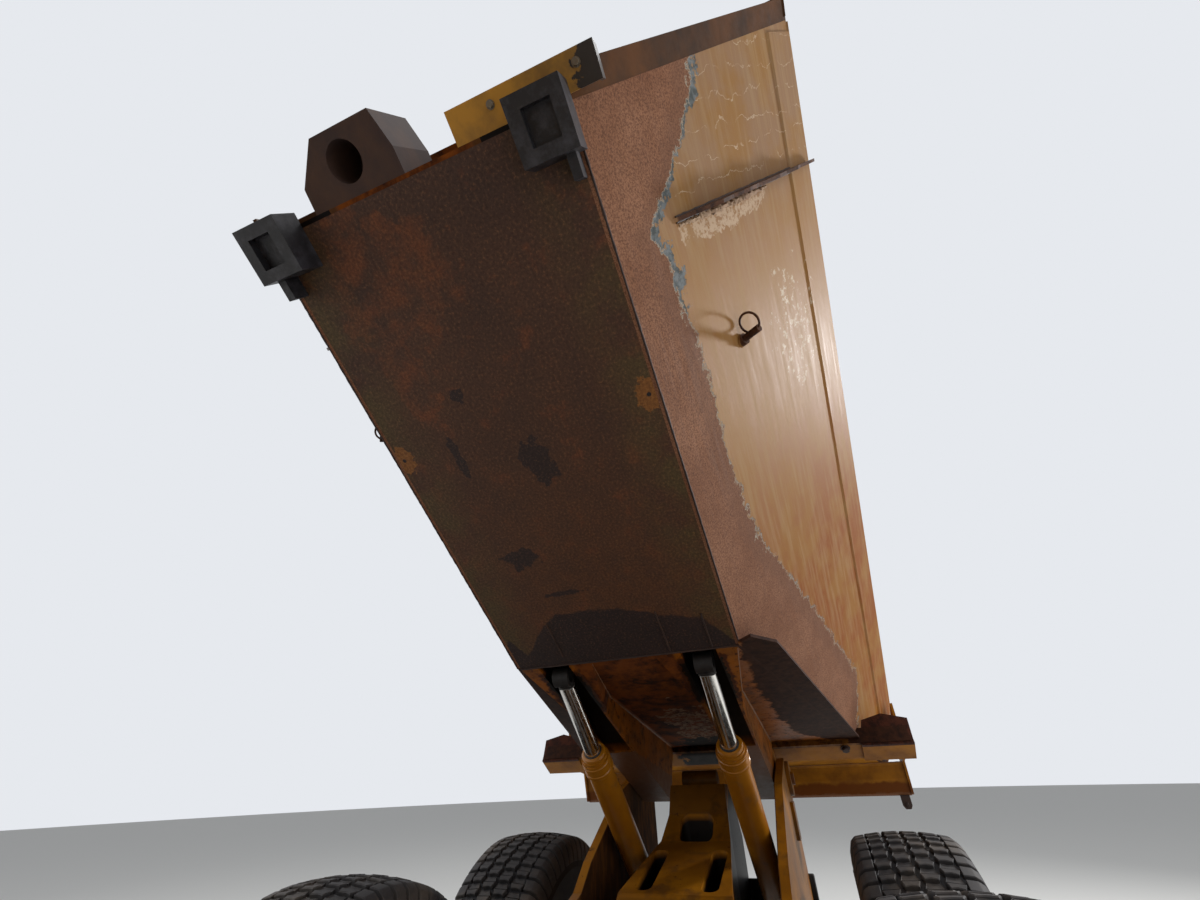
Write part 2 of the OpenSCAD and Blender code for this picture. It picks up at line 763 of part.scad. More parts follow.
module fenders() {
  side = cab_w / 2;
  color([0.13, 0.13, 0.14]) both() {
    side_plate([[-800, 1500], [-800, 1530], [-560, 1740], [560, 1740], [850, 1400], [850, 1200],
      [820, 1200], [820, 1390], [545, 1710], [-548, 1710]], side + 5, 1400);
    side_plate([[-560, 1710], [500, 1710], [400, 1330], [-400, 1330]], side, side + 20);
    // walkway and steps ahead of the wheel
    box(500, 1510, side + 5, 1240, 1700, 1740);
    box(cab_x1 + 10, 1510, 566, side + 10, 1700, 1740);
    box(910, 1510, 1000, 1240, 760, 790);
    box(910, 1510, 1000, 1240, 1130, 1160);
    box(910, 940, 1000, 1240, 790, 1700);
    box(1480, 1510, 1000, 1240, 790, 1700);
  }
}

module rails() {
  color([0.12, 0.12, 0.12]) both() {
    // handrail on the fender
    rod_z(x_rail(0), 1220, 18, 1740, 2640);
    rod_z(x_rail(1), 1220, 18, 1740, 2640);
    rod_x(1220, 2640, 18, x_rail(0), x_rail(1));
    rod_x(1220, 2200, 14, x_rail(0), x_rail(1));
    // mirror arm and mirror
    rod_z(x_rail(1), 1220, 16, 2600, 2900);
    box(x_rail(1) - 30, x_rail(1) + 30, 1190, 1390, 2700, 3100);
  }
}

function x_rail(i) = i == 0 ? 470 : 810;

module lamps() {
  color([0.85, 0.84, 0.78]) both() {
    rod_x(820, 1060, 90, 2430, 2510);
    rod_x(1040, 1060, 90, 2430, 2510);
  }
}

row() rear_frame();
row() bogie();
row() tyre(wheelbase, 1);  // tyre_fl
row() tyre(wheelbase, -1);  // tyre_fr
row() tyre(axle_m, 1);  // tyre_ml
row() tyre(axle_m, -1);  // tyre_mr
row() tyre(-axle_m, 1);  // tyre_rl
row() tyre(-axle_m, -1);  // tyre_rr
row() rim(wheelbase, 1);  // rim_fl
row() rim(wheelbase, -1);  // rim_fr
row() rim(axle_m, 1);  // rim_ml
row() rim(axle_m, -1);  // rim_mr
row() rim(-axle_m, 1);  // rim_rl
row() rim(-axle_m, -1);  // rim_rr
row() bed_floor();
row() bed_sides();
row() bed_front();
row() bed_chute();
row() bed_beams();
row() bed_rails();
row() bed_fittings();
row() exhaust_inlet();
row() hoist_barrel(1);  // hoist_barrel_l
row() hoist_barrel(-1);  // hoist_barrel_r
row() hoist_rod(1);  // hoist_rod_l
row() hoist_rod(-1);  // hoist_rod_r
row() hitch();
row() steer_barrel(1);  // steer_barrel_l
row() steer_barrel(-1);  // steer_barrel_r
row() steer_rod(1);  // steer_rod_l
row() steer_rod(-1);  // steer_rod_r
row() front_frame();
front_row() front_axle();
front_row() engine();
front_row() hood();
front_row() grille();
front_row() cab_body();
front_row() cab_glass();
front_row() cab_interior();
front_row() cab_door();
front_row() door_glass();
front_row() fenders();
front_row() rails();
front_row() lamps();
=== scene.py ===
# %% [markdown]
# The object is an articulated dump truck with its load bed raised. Its solids come from the
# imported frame, in metres, with X forward, Y to the truck's left and Z up. This script gives
# them their finishes and adds the small pieces that a drawing office would leave to the shop.

# %% Load the frame
import bpy
import bmesh
import math
import random
from mathutils import Matrix, Vector


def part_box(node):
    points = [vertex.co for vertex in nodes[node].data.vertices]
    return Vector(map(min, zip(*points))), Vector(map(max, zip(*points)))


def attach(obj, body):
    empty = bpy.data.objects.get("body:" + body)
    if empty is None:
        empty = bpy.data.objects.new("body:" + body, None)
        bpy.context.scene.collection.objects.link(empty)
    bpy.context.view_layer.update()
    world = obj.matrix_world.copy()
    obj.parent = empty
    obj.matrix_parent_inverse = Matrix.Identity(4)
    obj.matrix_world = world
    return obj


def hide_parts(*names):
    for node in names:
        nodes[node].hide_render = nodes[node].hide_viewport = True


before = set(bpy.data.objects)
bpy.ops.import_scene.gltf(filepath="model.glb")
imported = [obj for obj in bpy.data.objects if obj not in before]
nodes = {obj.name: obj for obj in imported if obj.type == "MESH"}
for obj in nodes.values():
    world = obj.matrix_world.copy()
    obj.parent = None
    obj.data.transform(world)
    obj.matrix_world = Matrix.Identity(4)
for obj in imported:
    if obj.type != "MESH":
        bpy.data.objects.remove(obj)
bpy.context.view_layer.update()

random.seed(7)

# %% [markdown]
# Most places on the truck are easier to say from the middle of the rear bogie, and places on
# the bed from the fold between its floor and its chute: along the floor, to the left, and
# square to the floor. Matrices turn those into the frame's own coordinates.

# %% Reference places
row_shift = -2.487515          # from the bogie's middle to the middle of the truck
front_axle = 5.05              # from the bogie's middle forward
bed_angle = math.radians(30.24)
chute_tilt = math.radians(21)
fold = Vector((0.469 + row_shift, 0, 2.379))
bogie_place = Matrix.Translation((row_shift, 0, 0))
front_place = Matrix.Translation((row_shift + front_axle, 0, 0))
bed_place = Matrix.Translation(fold) @ Matrix.Rotation(-bed_angle, 4, "Y")
chute_place = bed_place @ Matrix.Rotation(chute_tilt, 4, "Y")
floor_half = 0.589             # half width of the flat floor
side_slope = 0.644             # how far a side wall leans out per metre of height
wheel_y = 1.128
flanks = (("left", 1), ("right", -1))


def truck(x, y, z):
    """A place given from the middle of the bogie."""
    return bogie_place @ Vector((x, y, z))


def front(x, y, z):
    """A place given from the middle of the front axle."""
    return front_place @ Vector((x, y, z))


def on_bed(u, v, w):
    """A place given along the floor, to the left and over the floor."""
    return bed_place @ Vector((u, v, w))


def on_wall(u, w, off=0.0):
    """A place on the left wall's outer face, along the floor and at a height over it."""
    return on_bed(u, floor_half + side_slope * w + off, w)


def on_chute(back, v, over):
    """A place given rearward along the chute, to the left and over its underside."""
    return chute_place @ Vector((-back, v, over))


print("fold of the bed at", [round(v, 3) for v in fold])

# %% [markdown]
# The camera stands between the load frame's wheels and the cab unit and looks up and back
# under the bed, as the photographer did. A wide lens of about 14.6 mm takes in the underside.

# %% Camera
eye = truck(2.952, 0.844, 1.895)
yaw, pitch, roll = math.radians(20.23), math.radians(33.74), math.radians(-2.26)
ahead = Vector((-math.cos(yaw) * math.cos(pitch), -math.sin(yaw) * math.cos(pitch), math.sin(pitch)))
side = ahead.cross(Vector((0, 0, 1))).normalized()
up = side.cross(ahead)
camera_x = side * math.cos(roll) + up * math.sin(roll)
camera_y = up * math.cos(roll) - side * math.sin(roll)
camera_data = bpy.data.cameras.new("camera")
camera_data.sensor_width = 36
camera_data.lens = 14.583
camera_data.clip_start = 0.02
camera = bpy.data.objects.new("camera", camera_data)
turn = Matrix((camera_x, camera_y, -ahead)).transposed().to_4x4()
camera.matrix_world = Matrix.Translation(eye) @ turn
bpy.context.scene.collection.objects.link(camera)
bpy.context.scene.camera = camera
print("camera at", [round(v, 3) for v in eye])

# %% [markdown]
# Colours are written as the hex values a painter would read off a swatch. A value that varies
# over a surface is a Field, and sums, products and comparisons of Fields become shader nodes.
# The union of two masks is written with a bar, and is the larger of the two.

# %% Shader arithmetic
def linear(swatch):
    """sRGB hex to linear RGBA."""
    channels = [int(swatch[i:i + 2], 16) / 255 for i in (1, 3, 5)]
    return [c / 12.92 if c <= 0.04045 else ((c + 0.055) / 1.055) ** 2.4 for c in channels] + [1.0]


class Field:
    """A number, colour or vector that varies over a surface: one output of a shader node."""

    def __init__(self, tree, socket):
        self.tree, self.socket = tree, socket

    def __add__(self, other):
        return step("ADD", self, other)

    def __sub__(self, other):
        return step("SUBTRACT", self, other)

    def __rsub__(self, other):
        return step("SUBTRACT", other, self)

    def __mul__(self, other):
        return step("MULTIPLY", self, other)

    def __truediv__(self, other):
        return step("DIVIDE", self, other)

    def __or__(self, other):
        return step("MAXIMUM", self, other)

    def __gt__(self, other):
        return step("GREATER_THAN", self, other)

    def __abs__(self):
        return step("ABSOLUTE", self)

    def ramp(self, low, high, start=0.0, end=1.0):
        """Maps low..high to start..end and clamps it."""
        return add(self.tree, "MapRange", {"Value": self, "From Min": low, "From Max": high,
                                           "To Min": start, "To Max": end})


def add(tree, kind, inputs, out=0, **settings):
    """Adds one shader node and returns an output. inputs maps sockets to values or to Fields."""
    made = tree.nodes.new("ShaderNode" + kind)
    for key, value in settings.items():
        setattr(made, key, value)
    for key, value in inputs.items():
        if isinstance(value, Field):
            tree.links.new(value.socket, made.inputs[key])
        else:
            made.inputs[key].default_value = value
    return Field(tree, made.outputs[out])


def step(operation, *terms):
    """One step of arithmetic on up to three terms."""
    tree = next(term.tree for term in terms if isinstance(term, Field))
    return add(tree, "Math", dict(enumerate(terms)), operation=operation)


def split(vector):
    """X, Y and Z of a vector."""
    made = add(vector.tree, "SeparateXYZ", {0: vector})
    return [Field(vector.tree, out) for out in made.socket.node.outputs]


def length(vector):
    """Length of a vector."""
    return add(vector.tree, "VectorMath", {0: vector}, "Value", operation="LENGTH")


def blend(amount, first, second):
    """Mixes two colours. A colour is a swatch or a Field."""
    first, second = (linear(c) if isinstance(c, str) else c for c in (first, second))
    return add(amount.tree, "Mix", {0: amount, 6: first, 7: second}, 2, data_type="RGBA")


def layers(colour, *coats):
    """Lays (mask, colour) coats over a colour, one after the other."""
    for mask, coat in coats:
        colour = blend(mask, colour, coat)
    return colour


# %% Patterns
def in_place(tree, place=None):
    """Object coordinates in metres, or coordinates in another frame of the truck."""
    here = add(tree, "TexCoord", {}, "Object")
    if place is None:
        return here
    return add(tree, "Mapping", {"Vector": here, "Location": place.to_translation(),
                                 "Rotation": place.to_euler()}, vector_type="TEXTURE")


def noise(at, size, detail=4.0, rough=0.6, stretch=None):
    """Soft noise whose patches are about size metres across."""
    if stretch:
        at = add(at.tree, "Mapping", {"Vector": at, "Scale": stretch})
    return add(at.tree, "TexNoise", {"Vector": at, "Scale": 1 / size, "Detail": detail,
                                     "Roughness": rough}, "Fac")


def wave(at, scale, axis):
    """Even waves along an axis."""
    return add(at.tree, "TexWave", {"Vector": at, "Scale": scale}, "Fac", bands_direction=axis)


def spot(at, centre, size, fray=0.0, grain=0.05):
    """1 inside a frayed patch and 0 outside. size is its half width along each axis."""
    away = add(at.tree, "VectorMath", {0: at, 1: centre}, operation="SUBTRACT")
    reach = length(add(at.tree, "VectorMath", {0: away, 1: size}, operation="DIVIDE"))
    if fray:
        reach += noise(at, grain, 6.0).ramp(0.3, 0.7, -fray, fray)
    return reach.ramp(1.0, 0.92)


def frayed(at, value, size, depth, edge, soft):
    """Turns a distance into a mask whose edge wanders by depth. Above edge it is 1."""
    moved = value + noise(at, size, 8.0, 0.65).ramp(0.3, 0.7, -depth, depth)
    return moved.ramp(edge, edge + soft)


def traced(value, points):
    """A line through (value, height) points, for the edge of a worn zone. Heights stay under 2."""
    first, last = points[0][0], points[-1][0]
    line = add(value.tree, "FloatCurve", {"Value": value.ramp(first, last)})
    mapping = line.socket.node.mapping
    curve = mapping.curves[0]
    curve.points[0].location = (0.0, points[0][1] / 2)
    curve.points[1].location = (1.0, points[-1][1] / 2)
    for a, b in points[1:-1]:
        curve.points.new((a - first) / (last - first), b / 2)
    for point in curve.points:
        point.handle_type = "VECTOR"
    mapping.update()
    return line * 2.0


# %% Starting and ending a material
def socket_of(material, key):
    """A socket of a material's main shader. Its name may be written with underscores."""
    return material.node_tree.nodes["Principled BSDF"].inputs[key.replace("_", " ")]


def finish(name, place=None, **sockets):
    """Starts a material with constants on its main shader, and returns it and its coordinates."""
    material = bpy.data.materials.new(name)
    material.use_nodes = True
    for key, value in sockets.items():
        socket_of(material, key).default_value = linear(value) if isinstance(value, str) else value
    return material, in_place(material.node_tree, place)


def linked(material, key):
    """What a material's main shader already has on a socket."""
    return Field(material.node_tree, socket_of(material, key).links[0].from_socket)


def coat(material, height=None, depth=0.0, **sockets):
    """Ends a material: links values to its main shader, and a height map with its depth in metres."""
    if height:
        sockets["Normal"] = add(height.tree, "Bump", {"Height": height, "Distance": depth,
                                                      "Strength": 1.0})
    for key, value in sockets.items():
        material.node_tree.links.new(value.socket, socket_of(material, key))
    return material


print("helpers ready")

# %% [markdown]
# The floor's underside is bare hot-rolled plate that has rusted for years. Such rust is a dark
# brown skin with warmer orange patches, a fine grit of scale, and near-black damp stains, and its
# swatches are darkened further as painted shade of the underside. The colours are mixed by noise
# at three sizes: metre-wide weathering, hand-wide patches and grit.

# %% Rusted plate
damp_spots = [((1.17, 0.03, 0), (0.11, 0.065, 9)), ((0.70, -0.25, 0), (0.055, 0.085, 9)),
              ((1.52, -0.17, 0), (0.03, 0.03, 9)), ((1.27, -0.30, 0), (0.12, 0.02, 9)),
              ((0.47, -0.12, 0), (0.015, 0.10, 9))]
stain_edge = [(-0.59, 0.14), (-0.55, 0.236), (-0.489, 0.10), (-0.358, 0.247), (-0.232, 0.345),
              (0.086, 0.337), (0.254, 0.269), (0.456, 0.208), (0.536, 0.094), (0.59, 0.02)]


def rusted_plate():
    """Bare plate under the bed floor, rusted dark brown and darkened further as painted shade, with a stain
    by the fold.
    """
    material, at = finish("rusted hot-rolled plate", bed_place)
    along, left, over = split(at)
    patch = noise(at, 0.13, 8.0, 0.68)
    speck = noise(at, 0.011, 4.0, 0.75)
    # These swatches are darker than the rust alone: painted shade of the floor's underside.
    base = blend(noise(at, 0.55, 5.0).ramp(0.38, 0.62), "#382013", "#4a2c19")
    dry = blend(patch.ramp(0.3, 0.7), "#4a2c16", "#603716")
    warm = spot(at, (1.98, -0.22, 0), (0.22, 0.30, 9), 0.45, 0.12)
    warm |= spot(at, (1.62, -0.33, 0), (0.20, 0.09, 9), 0.5, 0.1)
    olive = abs(left).ramp(0.34, 0.54) * noise(at, 0.2, 4.0).ramp(0.36, 0.6)
    base = layers(base, (along.ramp(2.15, 0.35), dry),
                  (warm * patch.ramp(0.42, 0.60, 0.0, 0.75), "#713a14"),
                  (patch.ramp(0.57, 0.66, 0, 0.75), "#683617"), (olive, "#503d1a"))
    for centre, size in damp_spots:
        base = blend(spot(at, centre, size, 0.6, 0.07), base, "#27140e")
    for hole_y in (-0.547, 0.547):
        base = layers(base, (spot(at, (1.317, hole_y, 0), (0.07, 0.05, 9), 0.3, 0.02), "#85521b"),
                      (spot(at, (1.317, hole_y, 0), (0.009, 0.009, 9)), "#0e0908"))
    stain = frayed(at, traced(left, stain_edge) - along, 0.12, 0.02, 0.0, 0.012)
    base = layers(base, (stain, blend(patch.ramp(0.35, 0.65), "#1e0f0c", "#2a1611")),
                  (speck.ramp(0.42, 0.62, 0, 0.5), "#1f100a"), (speck.ramp(0.44, 0.34, 0, 0.35), "#8a5628"))
    return coat(material, speck + patch, 0.0014, Base_Color=base,
                Roughness=speck.ramp(0.3, 0.7, 0.62, 0.88))


plate_rust = rusted_plate()
print("made", plate_rust.name)

# %% [markdown]
# A side wall is painted sheet that loads and weather have scoured. Low on the wall the paint is
# gone and a dry pinkish rust shows, higher up chalky ochre paint is left, and between them runs
# a ragged rim of grey primer. The rim's height over the floor changes along the bed, so a
# curve node draws it from a few points and noise frays it.

# %% Scoured side wall
rim_points = [(-3.0, 0.88), (-1.87, 0.812), (-1.459, 0.93), (-0.215, 0.518), (0.343, 0.303),
              (0.899, 0.237), (1.353, 0.253), (1.70, 0.20), (1.826, 0.159), (2.0, 0.35),
              (2.21, 0.528), (2.5, 0.60)]


def scoured_wall():
    """Side walls: scoured rust below, worn ochre paint above, primer between, and painted shade below the
    chute's plane.
    """
    material, at = finish("scoured ochre paint on steel", bed_place, Specular_IOR_Level=0.15)
    along, left, over = split(at)
    above = over - traced(along, rim_points)
    above += noise(at, 0.07, 9.0, 0.72).ramp(0.3, 0.7, -0.04, 0.04)
    speck = noise(at, 0.007, 4.0, 0.8)
    bare = blend(noise(at, 0.4, 5.0).ramp(0.35, 0.65), "#94694f", "#7e543c")
    bare = layers(bare, (speck.ramp(0.44, 0.58, 0, 0.75), "#4f3123"),
                  (above.ramp(-0.10, -0.06, 0, 0.35), "#634434"))
    polish = noise(at, 0.03, 4.0, 0.6, (0.08, 1.0, 1.0))
    flakes = noise(at, 0.035, 8.0, 0.75).ramp(0.54, 0.57)
    flakes *= spot(at, (1.12, 1.17, 0.95), (0.26, 0.30, 0.17), 0.9, 0.1)
    wander = noise(at, 0.12, 4.0, 0.6).ramp(0.3, 0.7, -0.03, 0.03)
    scratches = step("FRACT", (along + wander) * 11.0).ramp(0.95, 0.97) * along.ramp(1.84, 1.9)
    scratches *= noise(at, 0.1, 3.0).ramp(0.45, 0.55, 0, 0.6)
    paint = layers(blend(along.ramp(0.9, -0.2), "#92683c", "#84480c"),
                   (along.ramp(1.55, 1.95), "#8d6b4c"),
                   (noise(at, 0.22, 6.0).ramp(0.42, 0.62, 0, 0.7), "#8f6428"),
                   (polish.ramp(0.45, 0.65, 0, 0.3), "#a88f6c"),
                   (flakes * 0.75, "#c9bba4"), (scratches, "#c4ae94"))
    primer = blend(noise(at, 0.03, 6.0).ramp(0.4, 0.6), "#4b4f4e", "#73787a")
    wide = abs(along - 1.75).ramp(0.32, 0.08, 0.008, 0.055) | abs(along - 2.25).ramp(0.2, 0.05, 0.008, 0.045)
    wide *= noise(at, 0.09, 5.0, 0.7).ramp(0.38, 0.56, 0.2, 1.3)
    over_primer = (above - wide).ramp(0.0, 0.008)
    crust = spot(at, (1.775, 0.98, 0.60), (0.05, 0.3, 0.36), 0.5, 0.06)
    crust *= noise(at, 0.02, 6.0, 0.7).ramp(0.42, 0.5)
    # Where the wall lies below the chute's plane it is painted dark brown: painted shade, as on the wings
    # beside it.
    over_chute = split(in_place(at.tree, chute_place))[2]
    colour = layers(bare, (above.ramp(0.0, 0.006), "#b3a58f"), (above.ramp(0.005, 0.009), primer),
                    (over_primer, paint), (crust, "#b59a7e"), (over_chute.ramp(0.006, 0.003), "#3a241a"))
    rough = over_primer.ramp(0, 1, 0.80, 0.58) + polish.ramp(0.3, 0.7, -0.06, 0.08)
    return coat(material, speck + over_primer * 0.8, 0.0006, Base_Color=colour, Roughness=rough)


wall_finish = scoured_wall()
print("made", wall_finish.name, "with", len(rim_points), "points on the rim")

# %% [markdown]
# Rails, ribs and the lug stand on the same wall, so they share its finish, but whatever stands
# proud of the sheet is dark brown: its own rust and baked-on dirt, darkened further as painted
# shade. The distance from the wall's outer face tells the two apart.

# %% Rails and ribs of the wall
def proud_steel():
    """The wall's own finish on the rails, and dark rust with painted shade on what stands out of them."""
    material = wall_finish.copy()
    material.name = "rusted and shaded rib on painted steel"
    at = in_place(material.node_tree, bed_place)
    along, left, over = split(at)
    out = abs(left) - (over * side_slope + floor_half)
    # Dark brown rust and dirt, darkened as painted shade, on whatever stands out of the wall.
    rust_and_shade = blend(noise(at, 0.05, 8.0, 0.7).ramp(0.4, 0.6), "#33211a", "#5c3d2c")
    return coat(material, Base_Color=blend(out.ramp(0.010, 0.014), linked(material, "Base Color"), rust_and_shade))


rail_finish = proud_steel()
print("made", rail_finish.name)

# %% [markdown]
# The machine's ochre is a thick workshop enamel. On beams, hoist cylinders, frame and cab it
# shows dirt in soft clouds and chips down to brown rust. On the frame, grime streaks the plates'
# outer faces, and painted shade darkens the faces between its plates and the middle box. One
# function makes these relatives, with the swatches and the amount of wear as its parameters.

# %% Enamel and its wear
def enamel(name, coat_colour, shade, rust="#4a2c1b", wear=0.62, dirt="#5d4a33", soil=0.55, rough=0.42,
           place=None, gloss=0.5):
    """Ochre or dark enamel with clouds of dirt and chips of rust."""
    material, at = finish(name, place, Specular_IOR_Level=gloss)
    cloud = noise(at, 0.35, 5.0)
    chipped = noise(at, 0.05, 8.0, 0.68).ramp(wear, wear + 0.015)
    colour = layers(blend(cloud.ramp(0.35, 0.65), coat_colour, shade),
                    (noise(at, 0.12, 6.0).ramp(soil, soil + 0.14, 0, 0.7), dirt), (chipped, rust))
    return coat(material, cloud - chipped, 0.0007, Base_Color=colour,
                Roughness=chipped.ramp(0, 1, rough, 0.8))


crease_x, crease_z = -0.72, 1.547      # where the middle box's sloping cover is folded
gentle, steep = 0.245, 0.722           # its rise per metre, ahead of the fold and behind it


def add_grime_and_shade(material):
    """Grime streaks on the side plates' outer faces, painted shade with streaks of grime between the frame's
    plates, and painted shade on the middle box's cover and inside behind its openings.
    """
    at = in_place(material.node_tree, bogie_place)
    x, y, z = split(at)
    out = abs(y)
    behind = (x - crease_x) * -1.0
    cover_z = behind * ((behind > 0.0) * (steep - gentle) + gentle) + crease_z
    below_skin = cover_z - z
    box = out.ramp(0.275, 0.265)
    # Painted shade: near-black inside the middle box, under its cover and behind its openings.
    shade_in_box = below_skin.ramp(0.008, 0.04) * box * z.ramp(1.05, 1.1)
    # Painted shade on the middle box's cover, darker towards its top.
    cover = below_skin.ramp(0.008, -0.002) * box * z.ramp(1.25, 1.75, 0.0, 0.75)
    # Painted shade with streaks of grime on the inner faces between the frame's plates.
    plate_gap_shade = out.ramp(0.506, 0.502) * out.ramp(0.44, 0.46) * x.ramp(1.2, 0.2)
    outer = out.ramp(0.5495, 0.5499) * z.ramp(1.3, 1.5)
    streak = noise(at, 0.09, 7.0, 0.7, (1, 1, 0.3)).ramp(0.40, 0.55, 0, 0.8)
    colour = layers(linked(material, "Base Color"), (outer * streak, "#6e5136"),
                    (plate_gap_shade, blend(streak, "#5c3610", "#2c190a")), (cover, "#2a1705"), (shade_in_box, "#0e0703"))
    return coat(material, Base_Color=colour, Roughness=linked(material, "Roughness") | plate_gap_shade * 0.95)


frame_enamel = add_grime_and_shade(enamel("ochre enamel on the rear frame", "#9c6410", "#7d4c0d", wear=0.64,
                                dirt="#54351a", soil=0.52, place=bogie_place, gloss=0.12))
hoist_enamel = enamel("ochre enamel on the hoist barrels", "#a96c10", "#8f560b", wear=0.70, soil=0.60,
                      rough=0.32)
cab_enamel = enamel("ochre enamel on cab and hood", "#cf9a35", "#c48c28", wear=0.72, soil=0.66,
                    dirt="#9a8260", rough=0.34)
rim_enamel = enamel("ochre enamel on the wheel rims", "#c8922c", "#a9772a", wear=0.66, soil=0.52)
black_enamel = enamel("black chassis enamel", "#26262a", "#1c1c1f", rust="#4d3628", wear=0.70,
                      dirt="#5a5348", soil=0.58, rough=0.5)
print("enamels:", [m.name for m in bpy.data.materials if "enamel" in m.name])

# %% [markdown]
# Under the chute the ochre has seen oil, road dirt and heat. Around the pockets that take the rods
# the hoist boxes have a dark ragged rim, and the pockets and the boxes' insides are near-black,
# painted shade. The wings outside the boxes carry painted shade over their rust, and the channel
# between them carries grease and flaked dirt. The front wall, the cross beam's front face and the
# tail tube's lower side are darkened as painted shade too. Each zone is a mask laid out in bed
# coordinates.

# %% Worn ochre under the bed
# Where the painted shade on the wings begins: its distance to the left at places along the bed.
wing_edge = [(-2.2, 1.9), (-1.93, 1.9), (-1.885, 1.05), (-1.86, 0.86), (-1.645, 0.685),
             (-1.215, 0.615), (-0.607, 0.56), (-0.15, 0.575), (0.2, 0.59)]


box_middle, box_half = 0.3855, 0.0885  # across a hoist box, between its plates
box_climb = 0.1763                     # of a hoist box's bottom, per metre rearward


def bed_ochre():
    """Hoist boxes, chute, wings, beam and tail tube in worn ochre, with painted shade on the wings, front
    wall, beam face and tube, and in the pockets.
    """
    material, at = finish("worn ochre enamel under the bed", bed_place, Specular_IOR_Level=0.12)
    along, left, over = split(at)
    back, across, over_chute = split(in_place(at.tree, chute_place))
    out, depth = abs(left), over_chute * -1.0
    cloud = noise(at, 0.30, 6.0)
    fine = noise(at, 0.045, 8.0, 0.7)
    soft_cloud = cloud.ramp(0.4, 0.6)
    channel = out.ramp(0.275, 0.255) * along.ramp(-2.0, -1.9)
    oily = blend(noise(at, 0.14, 7.0, 0.7).ramp(0.42, 0.60), "#743c11", "#2a150d")
    caked = spot(at, (-1.35, 0.06, 0.5), (0.55, 0.17, 0.6), 0.5, 0.15)
    caked *= noise(at, 0.035, 8.0, 0.75).ramp(0.48, 0.54)
    grease = spot(at, (-1.95, 0.0, 0.6), (0.34, 0.24, 0.5), 0.5, 0.1)
    # Painted shade: the cross beam's front face is a darker brown.
    beam_face_shade = step("COMPARE", along, -1.885, 0.02) * over.ramp(0.66, 0.68)
    # Painted shade over rust on the wings, outside the traced edge.
    bare = frayed(at, out - traced(along, wing_edge), 0.10, 0.035, 0.0, 0.02) * along.ramp(0.3, 0.2)
    pocket = abs(out - 0.380) / 0.112 | abs(along + 0.29) / 0.20
    box_inside = step("COMPARE", out, box_middle, box_half) * (along * box_climb + over).ramp(0.006, 0.03)
    # Painted shade: the pockets' openings and the hoist boxes' insides are near-black.
    hole = frayed(at, 1.0 - pocket, 0.06, 0.16, 0.0, 0.05) | box_inside * along.ramp(-1.07, -1.06)
    ring = frayed(at, 1.18 - pocket, 0.05, 0.14, 0.0, 0.10) * (1.0 - hole)
    beam_end = out.ramp(1.09, 1.11) * step("COMPARE", along, -1.897, 0.012)
    # Painted shade: the tail tube is darker on its lower side, more than 0.12 m under the chute.
    tube_underside_shade = frayed(at, depth, 0.12, 0.02, 0.12, 0.02) * back.ramp(-2.9, -2.95)
    colour = layers(
        blend(cloud.ramp(0.36, 0.62), "#9a560f", "#70400d"),
        (noise(at, 0.10, 7.0, 0.7).ramp(0.50, 0.64, 0, 0.85), "#4a2810"),
        (fine.ramp(0.58, 0.61, 0, 0.85), "#2c160c"),
        # Painted shade: everything ahead of about 2.2 m along the floor, the front wall and its plates, is a
        # darker brown.
        (along.ramp(2.15, 2.2), blend(soft_cloud, "#553212", "#34200f")),
        (along.ramp(-1.87, -1.89), blend(soft_cloud, "#9a6414", "#744712")),
        (channel, oily), (caked, "#8f745b"), (grease, "#0f0805"),
        (beam_face_shade * 0.75, blend(fine.ramp(0.42, 0.58), "#6b451c", "#2b180d")),
        (bare, blend(fine.ramp(0.4, 0.62), "#3b2113", "#24130c")), (hole, "#0b0503"), (ring, "#3f1d0b"),
        (beam_end, blend(noise(at, 0.05, 8.0, 0.7).ramp(0.42, 0.6), "#4a271a", "#2a1711")),
        (tube_underside_shade, "#613309"), (frayed(at, depth, 0.05, 0.012, 0.196, 0.006), "#6b452b"))
    dull = (bare + fine.ramp(0.35, 0.65, 0, 0.6)).ramp(0, 1.2, 0.40, 0.74)
    return coat(material, cloud - fine, 0.0008, Base_Color=colour, Roughness=dull | channel * 0.9)


beam_enamel = bed_ochre()
print("made", beam_enamel.name)

# %% [markdown]
# Rubber, cast iron and moulded plastic each have one colour, dust in soft patches and a fine
# grain. Bolts are zinc plated and dulled by weather, beads under the bed have rusted darker
# than the plate beside them, and seals are matt black rubber. Glass carries patches of haze.

# %% Plain finishes
def grainy(name, swatch, dusty, rough, grain=0.004, **sockets):
    """A moulded or cast surface."""
    material, at = finish(name, Roughness=rough, **sockets)
    colour = blend(noise(at, 0.2, 5.0).ramp(0.45, 0.7, 0, 0.7), swatch, dusty)
    return coat(material, noise(at, grain, 2.0), 0.0004, Base_Color=colour)


rubber_dusty = grainy("dusty tyre casing rubber", "#18171a", "#3f3831", 0.86)
rubber_worn = grainy("worn tread rubber", "#2e2b2b", "#5f554b", 0.76, 0.012)
cast_iron = grainy("painted cast iron", "#3a3a3c", "#57504a", 0.6)
moulded = grainy("moulded black ABS", "#1b1b1d", "#35322e", 0.55)
inlet_rust = grainy("rusted exhaust elbow", "#33201a", "#50331f", 0.8, 0.008)
dull_zinc = grainy("weathered zinc plate", "#7d766a", "#5b4632", 0.45, 0.003, Metallic=0.85)
rusty_bead = grainy("rusted weld bead", "#2a170e", "#4a2c18", 0.7, 0.005)
ochre_bead = grainy("painted weld bead", "#7a4a10", "#4a2a10", 0.5, 0.005)
seal_rubber = grainy("black EPDM seal", "#131314", "#2f2c28", 0.7, 0.003)
baked_earth = grainy("baked earth", "#a58a70", "#6b4a36", 0.95, 0.008)
red_lens = grainy("red lamp lens", "#8f1512", "#6d1a14", 0.2, 0.002)
